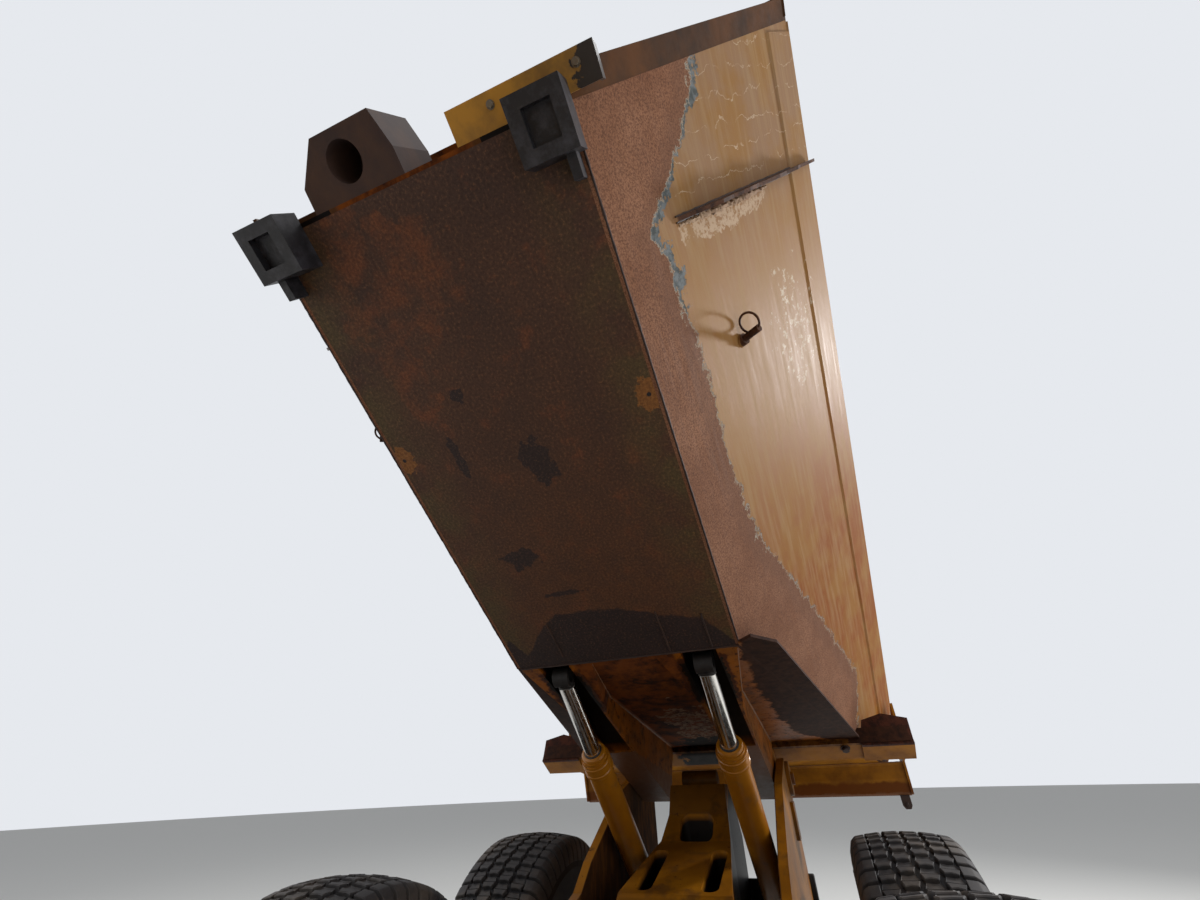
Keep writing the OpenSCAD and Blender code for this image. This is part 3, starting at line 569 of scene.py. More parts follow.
amber_lens = grainy("amber lamp lens", "#c4690f", "#95560f", 0.2, 0.002)


def pad_and_plate():
    """Black rest pads below the floor, and the ochre plate that stands ahead of it."""
    material, at = finish("black pad steel and ochre plate", bed_place, Roughness=0.5)
    along, left, over = split(at)
    worn = noise(at, 0.05, 7.0, 0.7)
    black = blend(worn.ramp(0.45, 0.65, 0, 0.8), "#151317", "#38373d")
    ochre = blend(noise(at, 0.15, 5.0).ramp(0.4, 0.62), "#b07c22", "#7f5a20")
    stained = (left > 0.6875) | spot(at, (2.30, 0.68, 0), (0.08, 0.05, 9), 0.5, 0.06)
    colour = blend(over > 0.0, black, blend(stained, ochre, "#241c17"))
    return coat(material, worn, 0.001, Base_Color=colour)


eye_x, eye_z = -2.15647, 2.345         # axis of the rods' upper eyes


def chromed_rod():
    """Hard chrome with fine wear along it. The eye at its upper end is oily cast steel."""
    material, at = finish("hard chrome on the rods")
    from_eye = add(at.tree, "Mapping", {"Vector": at, "Location": (-eye_x, 0, -eye_z), "Scale": (1, 0, 1)})
    chromed = length(from_eye).ramp(0.062, 0.066)
    wear = noise(at, 0.02, 3.0, 0.5, (0.2, 1, 1)).ramp(0.3, 0.7, 0.0, 0.14)
    return coat(material, Base_Color=blend(chromed, "#120b08", "#d9d7d3"), Metallic=chromed,
                Roughness=wear + chromed.ramp(0, 1, 0.6, 0.10))


def woven(name, swatch, shade):
    """Woven seat cover. Its threads are coarse enough to show in a close view."""
    material, at = finish(name, Roughness=0.9)
    threads = wave(at, 52.0, "X") | wave(at, 52.0, "Y")
    colour = blend(threads.ramp(0.3, 0.9), shade, swatch)
    colour = blend(noise(at, 0.12, 5.0).ramp(0.5, 0.7, 0, 0.5), colour, "#5a554d")
    return coat(material, threads, 0.0008, Base_Color=colour)


pad_steel = pad_and_plate()
hard_chrome = chromed_rod()
seat_cloth = woven("woven polyester seat cover", "#3a3c40", "#232427")
cab_glass, at = finish("tinted cab glass", Base_Color="#aebfbc", Roughness=0.03, IOR=1.5,
                       Transmission_Weight=0.92)
coat(cab_glass, Roughness=noise(at, 0.3, 5.0).ramp(0.4, 0.8, 0.02, 0.16))
mirror_face, at = finish("silvered mirror glass", Base_Color="#c9ced1", Metallic=1.0, Roughness=0.03)
coat(mirror_face, Roughness=noise(at, 0.12, 4.0).ramp(0.45, 0.8, 0.02, 0.12))
lens, at = finish("clear lamp lens", Base_Color="#e9e6dc", Roughness=0.08, IOR=1.5)
coat(lens, wave(at, 22.0, "Y"), 0.002)
print("plain finishes ready")

# %% [markdown]
# Each carried-over solid now takes its finish. A node's own slots are replaced, and its shape
# stays as the frame has it.

# %% Dress the solids
dress = {
    ("bed_floor",): plate_rust, ("bed_sides",): wall_finish, ("bed_rails",): rail_finish,
    ("bed_front", "bed_chute", "bed_beams"): beam_enamel, ("bed_fittings",): pad_steel,
    ("exhaust_inlet",): inlet_rust, ("rear_frame",): frame_enamel, ("hoist_barrel",): hoist_enamel,
    ("hoist_rod", "steer_rod"): hard_chrome, ("tyre_",): rubber_dusty, ("rim_",): rim_enamel,
    ("bogie", "hitch", "front_frame", "front_axle", "steer_barrel", "fenders", "rails"): black_enamel,
    ("engine",): cast_iron, ("hood", "cab_body", "cab_door"): cab_enamel,
    ("grille", "cab_interior"): moulded, ("cab_glass", "door_glass"): cab_glass, ("lamps",): lens}
for name in nodes:
    mesh = nodes[name].data
    mesh.materials.clear()
    mesh.materials.append(next(material for starts, material in dress.items() if name.startswith(starts)))
print("dressed", len(nodes), "nodes in", len(dress), "finishes")

# %% [markdown]
# New pieces are shaped in bmesh and then handed to the frame. A helper turns a bmesh into an
# object at the origin, marks its sharp edges by angle, and lets it ride on a CAD body.

# %% Piece helpers
def drawn(name, data):
    """Puts new data into the scene as an object."""
    made = bpy.data.objects.new(name, data)
    bpy.context.scene.collection.objects.link(made)
    return made


def piece(name, bm, materials, body, sharp=35):
    """Makes an object of a bmesh and lets it ride on a body. sharp is the smoothing angle."""
    bmesh.ops.recalc_face_normals(bm, faces=bm.faces)
    mesh = bpy.data.meshes.new(name)
    bm.to_mesh(mesh)
    bm.free()
    for material in materials if isinstance(materials, list) else [materials]:
        mesh.materials.append(material)
    mesh.shade_smooth()
    mesh.set_sharp_from_angle(angle=math.radians(sharp))
    made = drawn(name, mesh)
    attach(made, body)
    return made


def soften(bm, width, segments):
    """Bevels all edges, since a cast or folded part has none that is sharp."""
    bmesh.ops.bevel(bm, geom=bm.edges[:], offset=width, segments=segments, affect="EDGES",
                    profile=0.5, material=-1)


def put(bm, place):
    """Moves a bmesh by a matrix."""
    bmesh.ops.transform(bm, matrix=place, verts=bm.verts[:])


def shift(x, y, z):
    """A place that is only moved."""
    return Matrix.Translation((x, y, z))


def aim(origin, direction):
    """A place whose Z points along a direction."""
    return Matrix.Translation(origin) @ Vector(direction).to_track_quat("Z", "Y").to_matrix().to_4x4()


def join(target, source, place=None):
    """Adds one bmesh to another and frees it."""
    if place:
        put(source, place)
    mesh = bpy.data.meshes.new("part")
    source.to_mesh(mesh)
    source.free()
    target.from_mesh(mesh)
    bpy.data.meshes.remove(mesh)


def block(size, centre=(0, 0, 0), bevel=0.004, segments=2):
    """A bmesh with one softened block."""
    bm = bmesh.new()
    bmesh.ops.create_cube(bm, size=1)
    put(bm, Matrix.Translation(centre) @ Matrix.Diagonal((*size, 1)))
    soften(bm, bevel, segments)
    return bm


def blocks(*rows):
    """Softened blocks in one bmesh, from rows of what block takes."""
    bm = bmesh.new()
    for row in rows:
        join(bm, block(*row))
    return bm


def disc(radius, height, sides=24, bevel=0.0):
    """A capped round or six-sided bar that stands on the origin."""
    bm = bmesh.new()
    bmesh.ops.create_cone(bm, cap_ends=True, segments=sides, radius1=radius, radius2=radius,
                          depth=height)
    put(bm, shift(0, 0, height / 2))
    if bevel:
        soften(bm, bevel, 1)
    return bm


def pull(bm, faces, way):
    """Extrudes faces and returns those at the far end."""
    grown = bmesh.ops.extrude_face_region(bm, geom=faces)["geom"]
    bmesh.ops.translate(bm, verts=[g for g in grown if isinstance(g, bmesh.types.BMVert)], vec=way)
    return [g for g in grown if isinstance(g, bmesh.types.BMFace)]


def prism(points, way):
    """A flat outline pulled into a solid."""
    bm = bmesh.new()
    pull(bm, [bm.faces.new([bm.verts.new(p) for p in points])], way)
    return bm


def top_face(bm):
    """The highest face."""
    return max(bm.faces, key=lambda face: face.calc_center_median().z)


def spun(profile, steps=48, axis=(0, 0, 1), weld=0.0002):
    """A closed ring from (radius, along) points, about an axis."""
    bm = bmesh.new()
    ring = [bm.verts.new(Vector((r, 0, 0)) + Vector(axis) * a) for r, a in profile]
    edges = [bm.edges.new(pair) for pair in zip(ring, ring[1:] + ring[:1])]
    bmesh.ops.spin(bm, geom=ring + edges, cent=(0, 0, 0), axis=axis, angle=math.tau, steps=steps,
                   use_merge=True)
    bmesh.ops.remove_doubles(bm, verts=bm.verts, dist=weld)
    return bm


def bolt(size):
    """A hexagon bolt head on its washer. size is the thread's diameter."""
    bm = disc(size * 1.1, size * 0.18)
    join(bm, disc(size * 0.9, size * 0.65, 6, size * 0.08), shift(0, 0, size * 0.18))
    return bm


def bolts(name, size, places, material, body):
    """Bolt heads at (origin, direction) places, all on one body."""
    bm = bmesh.new()
    for origin, direction in places:
        join(bm, bolt(size), aim(origin, direction))
    piece(name, bm, material, body)


def both(name, bm, material, body, place=front_place):
    """One piece on each flank. The bmesh is the left one, from the front axle or another place."""
    for flank, sign in flanks:
        copy = bm.copy()
        put(copy, place @ Matrix.Diagonal((1, sign, 1, 1)))
        piece(name + "_" + flank, copy, material, body)
    bm.free()


def sweep(name, routes, radius, material, body, closed=False, sides=3, ripple=0.0):
    """A round bar, weld bead or pipe along each route. ripple varies its radius point by point."""
    data = bpy.data.curves.new(name, "CURVE")
    data.dimensions = "3D"
    data.bevel_depth = radius
    data.bevel_resolution = sides
    data.use_fill_caps = True
    for route in routes:
        spline = data.splines.new("POLY")
        spline.points.add(len(route) - 1)
        for point, place in zip(spline.points, route):
            point.co = (*place, 1)
            point.radius = 1 + random.uniform(-ripple, ripple)
        spline.use_cyclic_u = closed
    curve = drawn(name, data)
    mesh = bpy.data.meshes.new_from_object(curve.evaluated_get(bpy.context.evaluated_depsgraph_get()))
    bpy.data.objects.remove(curve)
    bpy.data.curves.remove(data)
    bm = bmesh.new()
    bm.from_mesh(mesh)
    bpy.data.meshes.remove(mesh)
    return piece(name, bm, material, body, 60)


def rounded(route, radius, steps=5):
    """Replaces each corner of a route by a short arc."""
    route = [Vector(p) for p in route]
    made = [route[0]]
    for before, corner, after in zip(route, route[1:], route[2:]):
        one, two = (before - corner).normalized(), (after - corner).normalized()
        start, end = corner + one * radius, corner + two * radius
        for i in range(steps + 1):
            t = i / steps
            made.append(start * (1 - t) ** 2 + corner * 2 * t * (1 - t) + end * t ** 2)
    return made + [route[-1]]


def loop(corners, radius):
    """A closed route with rounded corners."""
    return rounded(corners[-1:] + corners + corners[:1], radius)[1:-1]


def mirrored(routes):
    """The same routes on the truck's other side too."""
    return routes + [tuple(Vector((p.x, -p.y, p.z)) for p in route) for route in routes]


print("piece helpers ready")

# %% [markdown]
# An earthmover tyre is a thick casing with rubber blocks moulded onto it. These are worn
# blocks in six staggered rows, and a middle block is cut in two by a groove. The casing is one
# profile spun around the axle. One block per row is shaped and spun into the whole row.

# %% Tyres
tread_top = 0.788              # radius over the middle blocks, in metres
tread_depth = 0.024
block_root = 0.012             # how far a block is sunk into the casing
block_rim = 0.0035             # height of the slope around a block's top
crown_drop = 0.42              # how fast the tread falls with the square of y
pitches = 62                   # blocks in one row
casing = [(0.320, -0.238), (0.338, -0.252), (0.352, -0.262), (0.366, -0.262), (0.376, -0.270),
          (0.45, -0.284), (0.53, -0.289), (0.60, -0.287), (0.612, -0.289), (0.620, -0.285),
          (0.68, -0.274), (0.725, -0.254), (0.748, -0.225), (0.757, -0.17), (0.762, -0.08)]


def crown(y):
    """Radius over the tread at a distance from its middle."""
    return tread_top - crown_drop * y * y


def half_block(half, sign):
    """One half of a middle block, on the tangent plane: X around, Y across, Z out."""
    outline = [(0.002 * sign, -half - 0.004, 0), (0.031 * sign, -half + 0.007, 0), (0.025 * sign, 0, 0),
               (0.031 * sign, half - 0.007, 0), (0.002 * sign, half + 0.004, 0)]
    bm = prism(outline, (0, 0, tread_depth + block_root))
    bmesh.ops.inset_region(bm, faces=[top_face(bm)], thickness=0.004, depth=block_rim)
    return bm


def shoulder_block():
    """A block of the outer row, which wraps from the tread over to the sidewall."""
    profile = [(0.186, 0.740), (0.186, crown(0.186)), (0.236, crown(0.186) - 0.008), (0.262, 0.744),
               (0.279, 0.696), (0.286, 0.640), (0.270, 0.640), (0.240, 0.700)]
    bm = prism([(-0.029, y, r) for y, r in profile], (0.058, 0, 0))
    soften(bm, 0.0035, 1)
    return bm


def add_row(target, row, staggered):
    """Spins one block into a row around the axle, by half a pitch further in a staggered row."""
    put(row, Matrix.Rotation(math.pi / pitches * staggered, 4, "Y"))
    bmesh.ops.spin(row, geom=row.verts[:] + row.edges[:] + row.faces[:], cent=(0, 0, 0), axis=(0, 1, 0),
                   angle=math.tau * (pitches - 1) / pitches, steps=pitches - 1, use_duplicate=True)
    join(target, row)


def tread():
    """All blocks of one tyre, about its own middle."""
    bm = bmesh.new()
    for index, y in enumerate((-0.137, -0.0455, 0.0455, 0.137)):
        row = bmesh.new()
        for sign in (1, -1):
            join(row, half_block(0.0370, sign))
        root = shift(0, y, crown(y) - tread_depth - block_root - block_rim)
        put(row, root @ Matrix.Rotation(-2 * crown_drop * y, 4, "X"))
        add_row(bm, row, index % 2)
    for sign in (1, -1):
        row = shoulder_block()
        put(row, Matrix.Diagonal((1, sign, 1, 1)))
        add_row(bm, row, sign > 0)
    for face in bm.faces:
        face.material_index = 1
    return bm


def tyre(place):
    """Casing and tread, moved to a wheel's middle. Returns one bmesh with two materials."""
    half = casing + [(tread_top - tread_depth, 0.0)] + [(r, -y) for r, y in reversed(casing)]
    bm = spun(half, 96, (0, 1, 0), 0.0005)
    join(bm, tread())
    put(bm, place)
    return bm


def middle_of(name):
    """Middle of a node's box."""
    low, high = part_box(name)
    return (Vector(low) + Vector(high)) / 2


wheels = [n[5:] for n in nodes if n.startswith("tyre_")]
for wheel in wheels:
    turned = Matrix.Translation(middle_of("tyre_" + wheel)) @ Matrix.Rotation(random.uniform(0, 0.1), 4, "Y")
    made = piece("tyre_" + wheel + "_worn", tyre(turned), [rubber_dusty, rubber_worn],
                 "wheel_" + wheel, 30)
    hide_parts("tyre_" + wheel)
print("tyres:", len(wheels), "with", len(made.data.polygons), "faces each")

# %% [markdown]
# A weld bead is a string of solidified ripples. A thin swept curve gives its body, and small
# changes of its radius every few millimetres, from a seeded generator, give the ripples.

# %% Weld beads
def beads(name, routes, radius, material, pitch=0.014):
    """Weld beads on the bed along straight routes, with ripples."""
    fine = []
    for start, end in routes:
        count = max(2, int((end - start).length / pitch))
        fine.append([start.lerp(end, i / count) for i in range(count + 1)])
    sweep(name, fine, radius, material, "bed", sides=1, ripple=0.22)


floor_seams = mirrored([(on_bed(0.01, 0.588, 0.001), on_bed(2.23, 0.588, 0.001))])
floor_seams += [(on_bed(0.0, -0.58, -0.001), on_bed(0.0, 0.58, -0.001)),
                (on_bed(0.29, -0.30, 0), on_bed(0.06, -0.30, 0)),
                (on_bed(0.28, 0.257, 0), on_bed(0.01, 0.257, 0)),
                (on_bed(0.23, 0.461, 0), on_bed(0.01, 0.461, 0))]
beads("floor_welds", floor_seams, 0.0045, rusty_bead)
box_seams = mirrored([(on_bed(-0.02, 0.172, 0.010), on_bed(-0.55, 0.281, 0.211)),
                      (on_bed(-0.55, 0.281, 0.211), on_bed(-1.86, 0.281, 0.714)),
                      (on_bed(-0.02, 0.573, 0.009), on_bed(-0.62, 0.487, 0.238)),
                      (on_bed(-0.62, 0.487, 0.238), on_bed(-1.86, 0.487, 0.714)),
                      (on_bed(-1.879, 0.49, 0.798), on_bed(-1.879, 1.10, 0.798))])
beads("box_welds", box_seams, 0.005, ochre_bead)
rib_seams = mirrored([(on_wall(u, 0.30, 0.001), on_wall(u, 1.27, 0.001)) for u in (1.8205, 1.8375)])
beads("rib_welds", rib_seams, 0.006, rusty_bead, 0.02)
beads("tail_welds", [(on_chute(2.948, -1.425, -0.002), on_chute(2.948, 1.425, -0.002))], 0.005,
      ochre_bead)
print("beads laid")

# %% [markdown]
# Earth has baked onto the rear face of the long rib. It is a lumpy strip: a bar is cut into
# many short lengths and every ring of it is scaled a little at random.

# %% Dirt on the rib
def lumpy(start, end, across, size, count, seed):
    """A strip of caked earth from start to end."""
    chance = random.Random(seed)
    bm = bmesh.new()
    bmesh.ops.create_circle(bm, cap_ends=True, segments=7, radius=1.0)
    axis = end - start
    place = aim(start, axis)
    flat = (place.inverted().to_3x3() @ across).normalized()
    other = Vector((0, 0, 1)).cross(flat)
    ring = bm.faces[:]
    for index in range(count):
        ring = pull(bm, ring, (0, 0, 1))
    bmesh.ops.recalc_face_normals(bm, faces=bm.faces)
    for vert in bm.verts:
        along = vert.co.z / count
        swell = (0.35 + 0.65 * chance.random()) * math.sin(math.pi * min(1, max(0.04, along))) ** 0.4
        vert.co = (flat * vert.co.x + other * vert.co.y) * size * swell + Vector((0, 0, along * axis.length))
    put(bm, place)
    return bm


wall_normal = (bed_place.to_3x3() @ Vector((0, 1, -side_slope))).normalized()
crust = lumpy(on_wall(1.806, 0.31), on_wall(1.806, 0.93), wall_normal, 0.020, 70, 11)
piece("rib_crust", crust, baked_earth, "bed", 60)
print("crust on the rib")

# %% [markdown]
# Bolt heads are hexagons with a softened edge on a washer. Under the bed they hold the plate
# ahead of the floor, and a lone rusty nut is left on the cross beam. A flat eye with its pin
# hangs from the tail tube's left end.

# %% Fasteners and lug under the bed
below = bed_place.to_3x3() @ Vector((0, 0, -1))
bolts("plate_bolts", 0.012, [(on_bed(2.315, v, -0.0001), below) for v in (0.365, 0.64)], dull_zinc,
      "bed")
bolts("beam_nut", 0.030, [(on_bed(-1.93, 0.99, 0.686), below)], rusty_bead, "bed")
lug_outline = [(-0.035, 0.0), (0.035, 0.0), (0.035, -0.07), (0.02, -0.095), (-0.02, -0.095), (-0.035, -0.07)]
lug = prism([(0, y, z) for y, z in lug_outline], (0.012, 0, 0))
soften(lug, 0.002, 1)
join(lug, disc(0.012, 0.05, 16, 0.002), aim((-0.02, 0, -0.065), (1, 0, 0)))
put(lug, Matrix.Translation(on_chute(3.075, 1.375, -0.212)))
piece("tail_lug", lug, rusty_bead, "bed")
print("fasteners under the bed placed")

# %% [markdown]
# A hoist barrel closes in a gland: a screwed ring with a wiper lip around the rod and a row of
# socket screws. Each is one profile spun round the barrel's axis, placed by the hoist's angle.
# The wheels carry a ring of nuts, a hub cover with its screws and drain plug, and a valve.

# %% Hoist glands and wheel hardware
def socket_screw(size):
    """A round socket head with its hole."""
    bm = disc(size * 0.8, size * 0.7, 18, size * 0.06)
    top = top_face(bm)
    bmesh.ops.inset_region(bm, faces=[top], thickness=size * 0.34, depth=0)
    bmesh.ops.translate(bm, verts=list(top.verts), vec=(0, 0, -size * 0.4))
    return bm


def circle_of(source, size, radius, count, height, start=0.0):
    """Copies of a small piece on a circle about Z."""
    bm = bmesh.new()
    for index in range(count):
        angle = start + math.tau * index / count
        join(bm, source(size), shift(radius * math.cos(angle), radius * math.sin(angle), height))
    return bm


def gland():
    """Gland ring, its screws and two bands around the barrel, along Z from the barrel's foot."""
    bm = spun([(0.0462, 1.551), (0.0462, 1.566), (0.054, 1.570), (0.066, 1.566), (0.070, 1.560),
               (0.070, 1.551)])
    join(bm, circle_of(socket_screw, 0.008, 0.0735, 8, 1.5285, 0.2))
    join(bm, spun([(0.0812, 1.4415), (0.0845, 1.446), (0.0845, 1.462), (0.0812, 1.4665)]))
    join(bm, spun([(0.0812, 1.500), (0.0840, 1.503), (0.0840, 1.514), (0.0812, 1.517)]))
    return bm


def wheel_hardware():
    """Fasteners of one wheel about its own middle, with the axle along Z."""
    bm = circle_of(bolt, 0.020, 0.262, 16, 0.026, 0.1)
    join(bm, circle_of(bolt, 0.012, 0.155, 12, 0.182))
    join(bm, disc(0.022, 0.012, 6, 0.002), shift(0.06, 0, 0.1895))
    join(bm, disc(0.045, 0.006, 32, 0.001), shift(0, 0, 0.1895))
    join(bm, disc(0.007, 0.045, 12, 0.001), shift(0.273, 0.0, 0.024))
    return bm


hoist_angle = math.radians(39.6)
for flank, sign in flanks:
    barrel = "hoist_barrel_" + flank
    foot = aim(truck(-1.2843, sign * 0.387, 1.009), (math.cos(hoist_angle), 0, math.sin(hoist_angle)))
    head = gland()
    join(head, block((0.05, 0.05, 0.045), (0.0, 0.082 * sign, 0.20), 0.006))
    put(head, foot)
    piece("hoist_gland_" + flank, head, hoist_enamel, barrel)
    wiper = spun([(0.0458, 1.566), (0.0458, 1.5745), (0.050, 1.572), (0.051, 1.567)])
    put(wiper, foot)
    piece("hoist_wiper_" + flank, wiper, seal_rubber, barrel)
for wheel in wheels:
    sign = 1 if wheel.endswith("l") else -1
    middle = middle_of("rim_" + wheel)
    middle.y = sign * wheel_y
    hardware = wheel_hardware()
    put(hardware, Matrix.Translation(middle) @ Matrix.Rotation(-sign * math.pi / 2, 4, "X")
        @ Matrix.Rotation(random.uniform(0, 1), 4, "Z"))
    piece("wheel_hardware_" + wheel, hardware, dull_zinc, "wheel_" + wheel)
print("glands on both barrels, hardware on", len(wheels), "wheels")

# %% [markdown]
# Seen from the side, a cab is known by its seals, wiper, mirrors and lamps. A seal is a round
# rubber bead along the edge of its window. A swept closed curve with rounded corners makes it.

# %% Window seals
skin = 0.7265                   # half the cab's width, and a little more
screen_rake = 0.18367           # how far the windscreen leans back per metre
seal_radius = 0.009
door_pane = [(-0.55, 2.08), (-0.55, 3.21), (0.24, 3.21), (0.36, 2.34), (0.36, 2.08)]
side_pane = [(-0.57, 1.85), (-0.57, 3.23), (0.24, 3.23), (0.37, 2.35), (0.37, 1.85)]
quarter_pane = [(-0.92, 2.35), (-0.92, 3.23), (-0.69, 3.23), (-0.69, 2.35)]
rear_pane = [(-0.56, 2.35), (-0.56, 3.23), (0.56, 3.23), (0.56, 2.35)]
windscreen = [(-0.62, 2.43), (-0.62, 3.29), (0.62, 3.29), (0.62, 2.43)]


def screen(y, z, off=0.0):
    """A place on the windscreen's outer face."""
    return front(0.57 - (z - 2.36) * screen_rake + off, y, z)


door_seal = loop([front(x, skin, z) for x, z in door_pane], 0.04)
sweep("door_window_seal", [door_seal], seal_radius, seal_rubber, "door", closed=True)
seals = [loop([front(x, y, z) for x, z in pane], 0.04)
         for pane, y in ((quarter_pane, skin), (quarter_pane, -skin), (side_pane, -skin))]
seals += [loop([front(-0.991, y, z) for y, z in rear_pane], 0.04),
          loop([screen(y, z, 0.002) for y, z in windscreen], 0.05)]
sweep("cab_window_seals", seals, seal_radius, seal_rubber, "tractor", closed=True)
print("seals:", len(seals) + 1)

# %% Wiper, mirrors and roof
wiper_turn = math.radians(38)
lean = Matrix.Rotation(-math.atan(screen_rake), 4, "Y")
swing = lean @ Matrix.Rotation(-wiper_turn, 4, "X")
wiper = disc(0.022, 0.03, 20, 0.004)
put(wiper, aim(screen(0.10, 2.40), (1, 0, screen_rake)))
join(wiper, block((0.006, 0.022, 0.62), (0, 0, 0.31), 0.002),
     Matrix.Translation(screen(0.10, 2.40, 0.030)) @ swing)
join(wiper, block((0.012, 0.014, 0.66)),
     Matrix.Translation(screen(0.10, 2.40, 0.026)) @ swing @ shift(0, 0, 0.58)
     @ Matrix.Rotation(wiper_turn, 4, "X"))
piece("windscreen_wiper", wiper, moulded, "tractor")
both("mirror_glass", block((0.005, 0.17, 0.36), (0.7785, 1.29, 2.90), 0.002), mirror_face, "tractor")
roof_lamps, roof_lenses = bmesh.new(), bmesh.new()
for y in (-0.60, -0.36, 0.36, 0.60):
    join(roof_lamps, blocks(((0.09, 0.15, 0.10), (0.20, y, 3.505), 0.014, 3),
                            ((0.03, 0.04, 0.04), (0.20, y, 3.445))))
    lamp_ring = spun([(0.040, 0.0), (0.046, 0.0), (0.046, 0.012), (0.040, 0.009)], 32)
    join(roof_lamps, lamp_ring, aim((0.244, y, 3.505), (1, 0, 0)))
    join(roof_lenses, disc(0.041, 0.008, 32, 0.002), aim((0.2445, y, 3.505), (1, 0, 0)))
dome = spun([(0.0, 0.02), (0.058, 0.02), (0.058, 0.08), (0.050, 0.115), (0.030, 0.135), (0.0, 0.140)], 40)
foot = spun([(0.0, 0.0), (0.068, 0.0), (0.068, 0.014), (0.062, 0.021), (0.0, 0.021)], 40)
for name, bm, place, material, slot in (
        ("roof_lamp_housings", roof_lamps, front_place, moulded, "trim"),
        ("roof_lamp_lenses", roof_lenses, front_place, lens, "lamp"),
        ("beacon_dome", dome, front_place @ shift(-0.75, 0.45, 3.43), amber_lens, "lamp"),
        ("beacon_foot", foot, front_place @ shift(-0.75, 0.45, 3.43), moulded, "trim")):
    put(bm, place)
    piece(name, bm, material, "tractor")
gutters = mirrored([(front(-0.985, 0.728, 3.345), front(0.385, 0.728, 3.345))])
sweep("roof_gutters", gutters, 0.008, cab_enamel, "tractor")
print("cab roof and mirrors fitted")

# %% [markdown]
# The hood breathes through pressed louvres. Each louvre is half a tube with closed ends, so one
# softened wedge is shaped and set down in rows. Rubber latches hold the hood at its lower edge.

# %% Hood, lamps and tank
hood_y = 0.560                  # the hood's side
louvre_profile = [(-0.002, -0.016), (0.012, -0.014), (0.012, -0.009), (-0.002, 0.016)]


def louvre(length_x):
    """One pressed louvre: long along X, standing out along Y."""
    bm = prism([(-length_x / 2, y, z) for y, z in louvre_profile], (length_x, 0, 0))
    soften(bm, 0.0025, 2)
    return bm


louvres = bmesh.new()
for column in (1.05, 1.42):
    for level in range(8):
        join(louvres, louvre(0.30), shift(column, hood_y, 1.50 + 0.058 * level))
both("hood_louvres", louvres, cab_enamel, "hood")
latch = blocks(((0.030, 0.016, 0.10), (0.95, hood_y + 0.008, 1.31), 0.005),
               ((0.055, 0.020, 0.022), (0.95, hood_y + 0.011, 1.355), 0.006))
both("hood_latch", latch, moulded, "hood")
lamp_rings = bmesh.new()
for y in (0.82, 1.04):
    ring = spun([(0.084, -0.004), (0.097, -0.004), (0.097, 0.014), (0.090, 0.020), (0.084, 0.012)])
    join(lamp_rings, ring, aim((2.500, y, 1.06), (1, 0, 0)))
both("headlamp_rings", lamp_rings, moulded, "tractor")
both("turn_signal", block((0.030, 0.055, 0.10), (2.440, 1.145, 0.975), 0.006, 3), amber_lens,
     "tractor")
straps = bmesh.new()
for x in (0.90, 1.56):
    join(straps, blocks(((0.045, 0.590, 0.005), (x, 0.707, 1.1625), 0.001),
                        ((0.045, 0.005, 0.385), (x, 1.0025, 0.972), 0.001)))
    join(straps, bolt(0.012), aim((x, 1.005, 1.10), (0, 1, 0)))
both("box_straps", straps, black_enamel, "tractor")
tank_cap = spun([(0.0, 0.0), (0.062, 0.0), (0.062, 0.010), (0.050, 0.014), (0.050, 0.040), (0.044, 0.046),
                 (0.0, 0.046)])
join(tank_cap, block((0.085, 0.014, 0.016), (0, 0, 0.050)))
put(tank_cap, Matrix.Translation(front(1.24, 0.74, 1.16)))
piece("tank_cap", tank_cap, moulded, "tractor")
print("hood, lamps and tank fitted")

# %% [markdown]
# Walkways are tread plate: low almond-shaped bars in alternating directions, 55 mm apart.
# One bar is a flattened sphere, repeated over the plates. The feet of the handrails get flanges.

# %% Tread plate, rail feet and rear lamps
deck_z = 1.740                  # top of the fender's walkway
bar_pitch = 0.055


def tread_bars(x0, x1, y0, y1, z):
    """Almond bars over a level rectangle."""
    bm = bmesh.new()
    for i in range(int((x1 - x0) / bar_pitch)):
        for j in range(int((y1 - y0) / bar_pitch)):
            bar = bmesh.new()
            bmesh.ops.create_uvsphere(bar, u_segments=8, v_segments=4, radius=1)
            turned = Matrix.Rotation(math.radians(45 if (i + j) % 2 else -45), 4, "Z")
            at = shift(x0 + (i + 0.5) * bar_pitch, y0 + (j + 0.5) * bar_pitch, z)
            join(bm, bar, at @ turned @ Matrix.Diagonal((0.020, 0.005, 0.0025, 1)))
    return bm


bars = tread_bars(0.57, 1.50, 0.75, 1.235, deck_z)
join(bars, tread_bars(-0.55, 0.55, 0.75, 1.39, deck_z))
for z in (0.790, 1.160):
    join(bars, tread_bars(0.945, 1.475, 1.005, 1.235, z))
both("tread_plate", bars, black_enamel, "tractor")
feet = bmesh.new()
for x in (0.47, 0.81):
    flange = spun([(0.019, 0.0), (0.045, 0.0), (0.045, 0.006), (0.024, 0.010), (0.019, 0.016)], 32)
    join(feet, flange, shift(x, 1.22, deck_z))
    for off in (-0.034, 0.034):
        join(feet, bolt(0.007), shift(x + off, 1.22, deck_z + 0.005))
both("rail_feet", feet, dull_zinc, "tractor")
for name, size, centre, bevel, segments, material, slot in (
        ("rear_lamp", (0.045, 0.11, 0.19), (-1.652, 0.530, 1.19), 0.010, 3, moulded, "trim"),
        ("rear_lamp_red", (0.010, 0.09, 0.11), (-1.676, 0.530, 1.215), 0.003, 2, red_lens, "lamp"),
        ("rear_lamp_amber", (0.010, 0.09, 0.045), (-1.676, 0.530, 1.128), 0.003, 2, amber_lens, "lamp")):
    both(name, block(size, centre, bevel, segments), material, "rear", bogie_place)
print("tread plate, feet and rear lamps fitted")

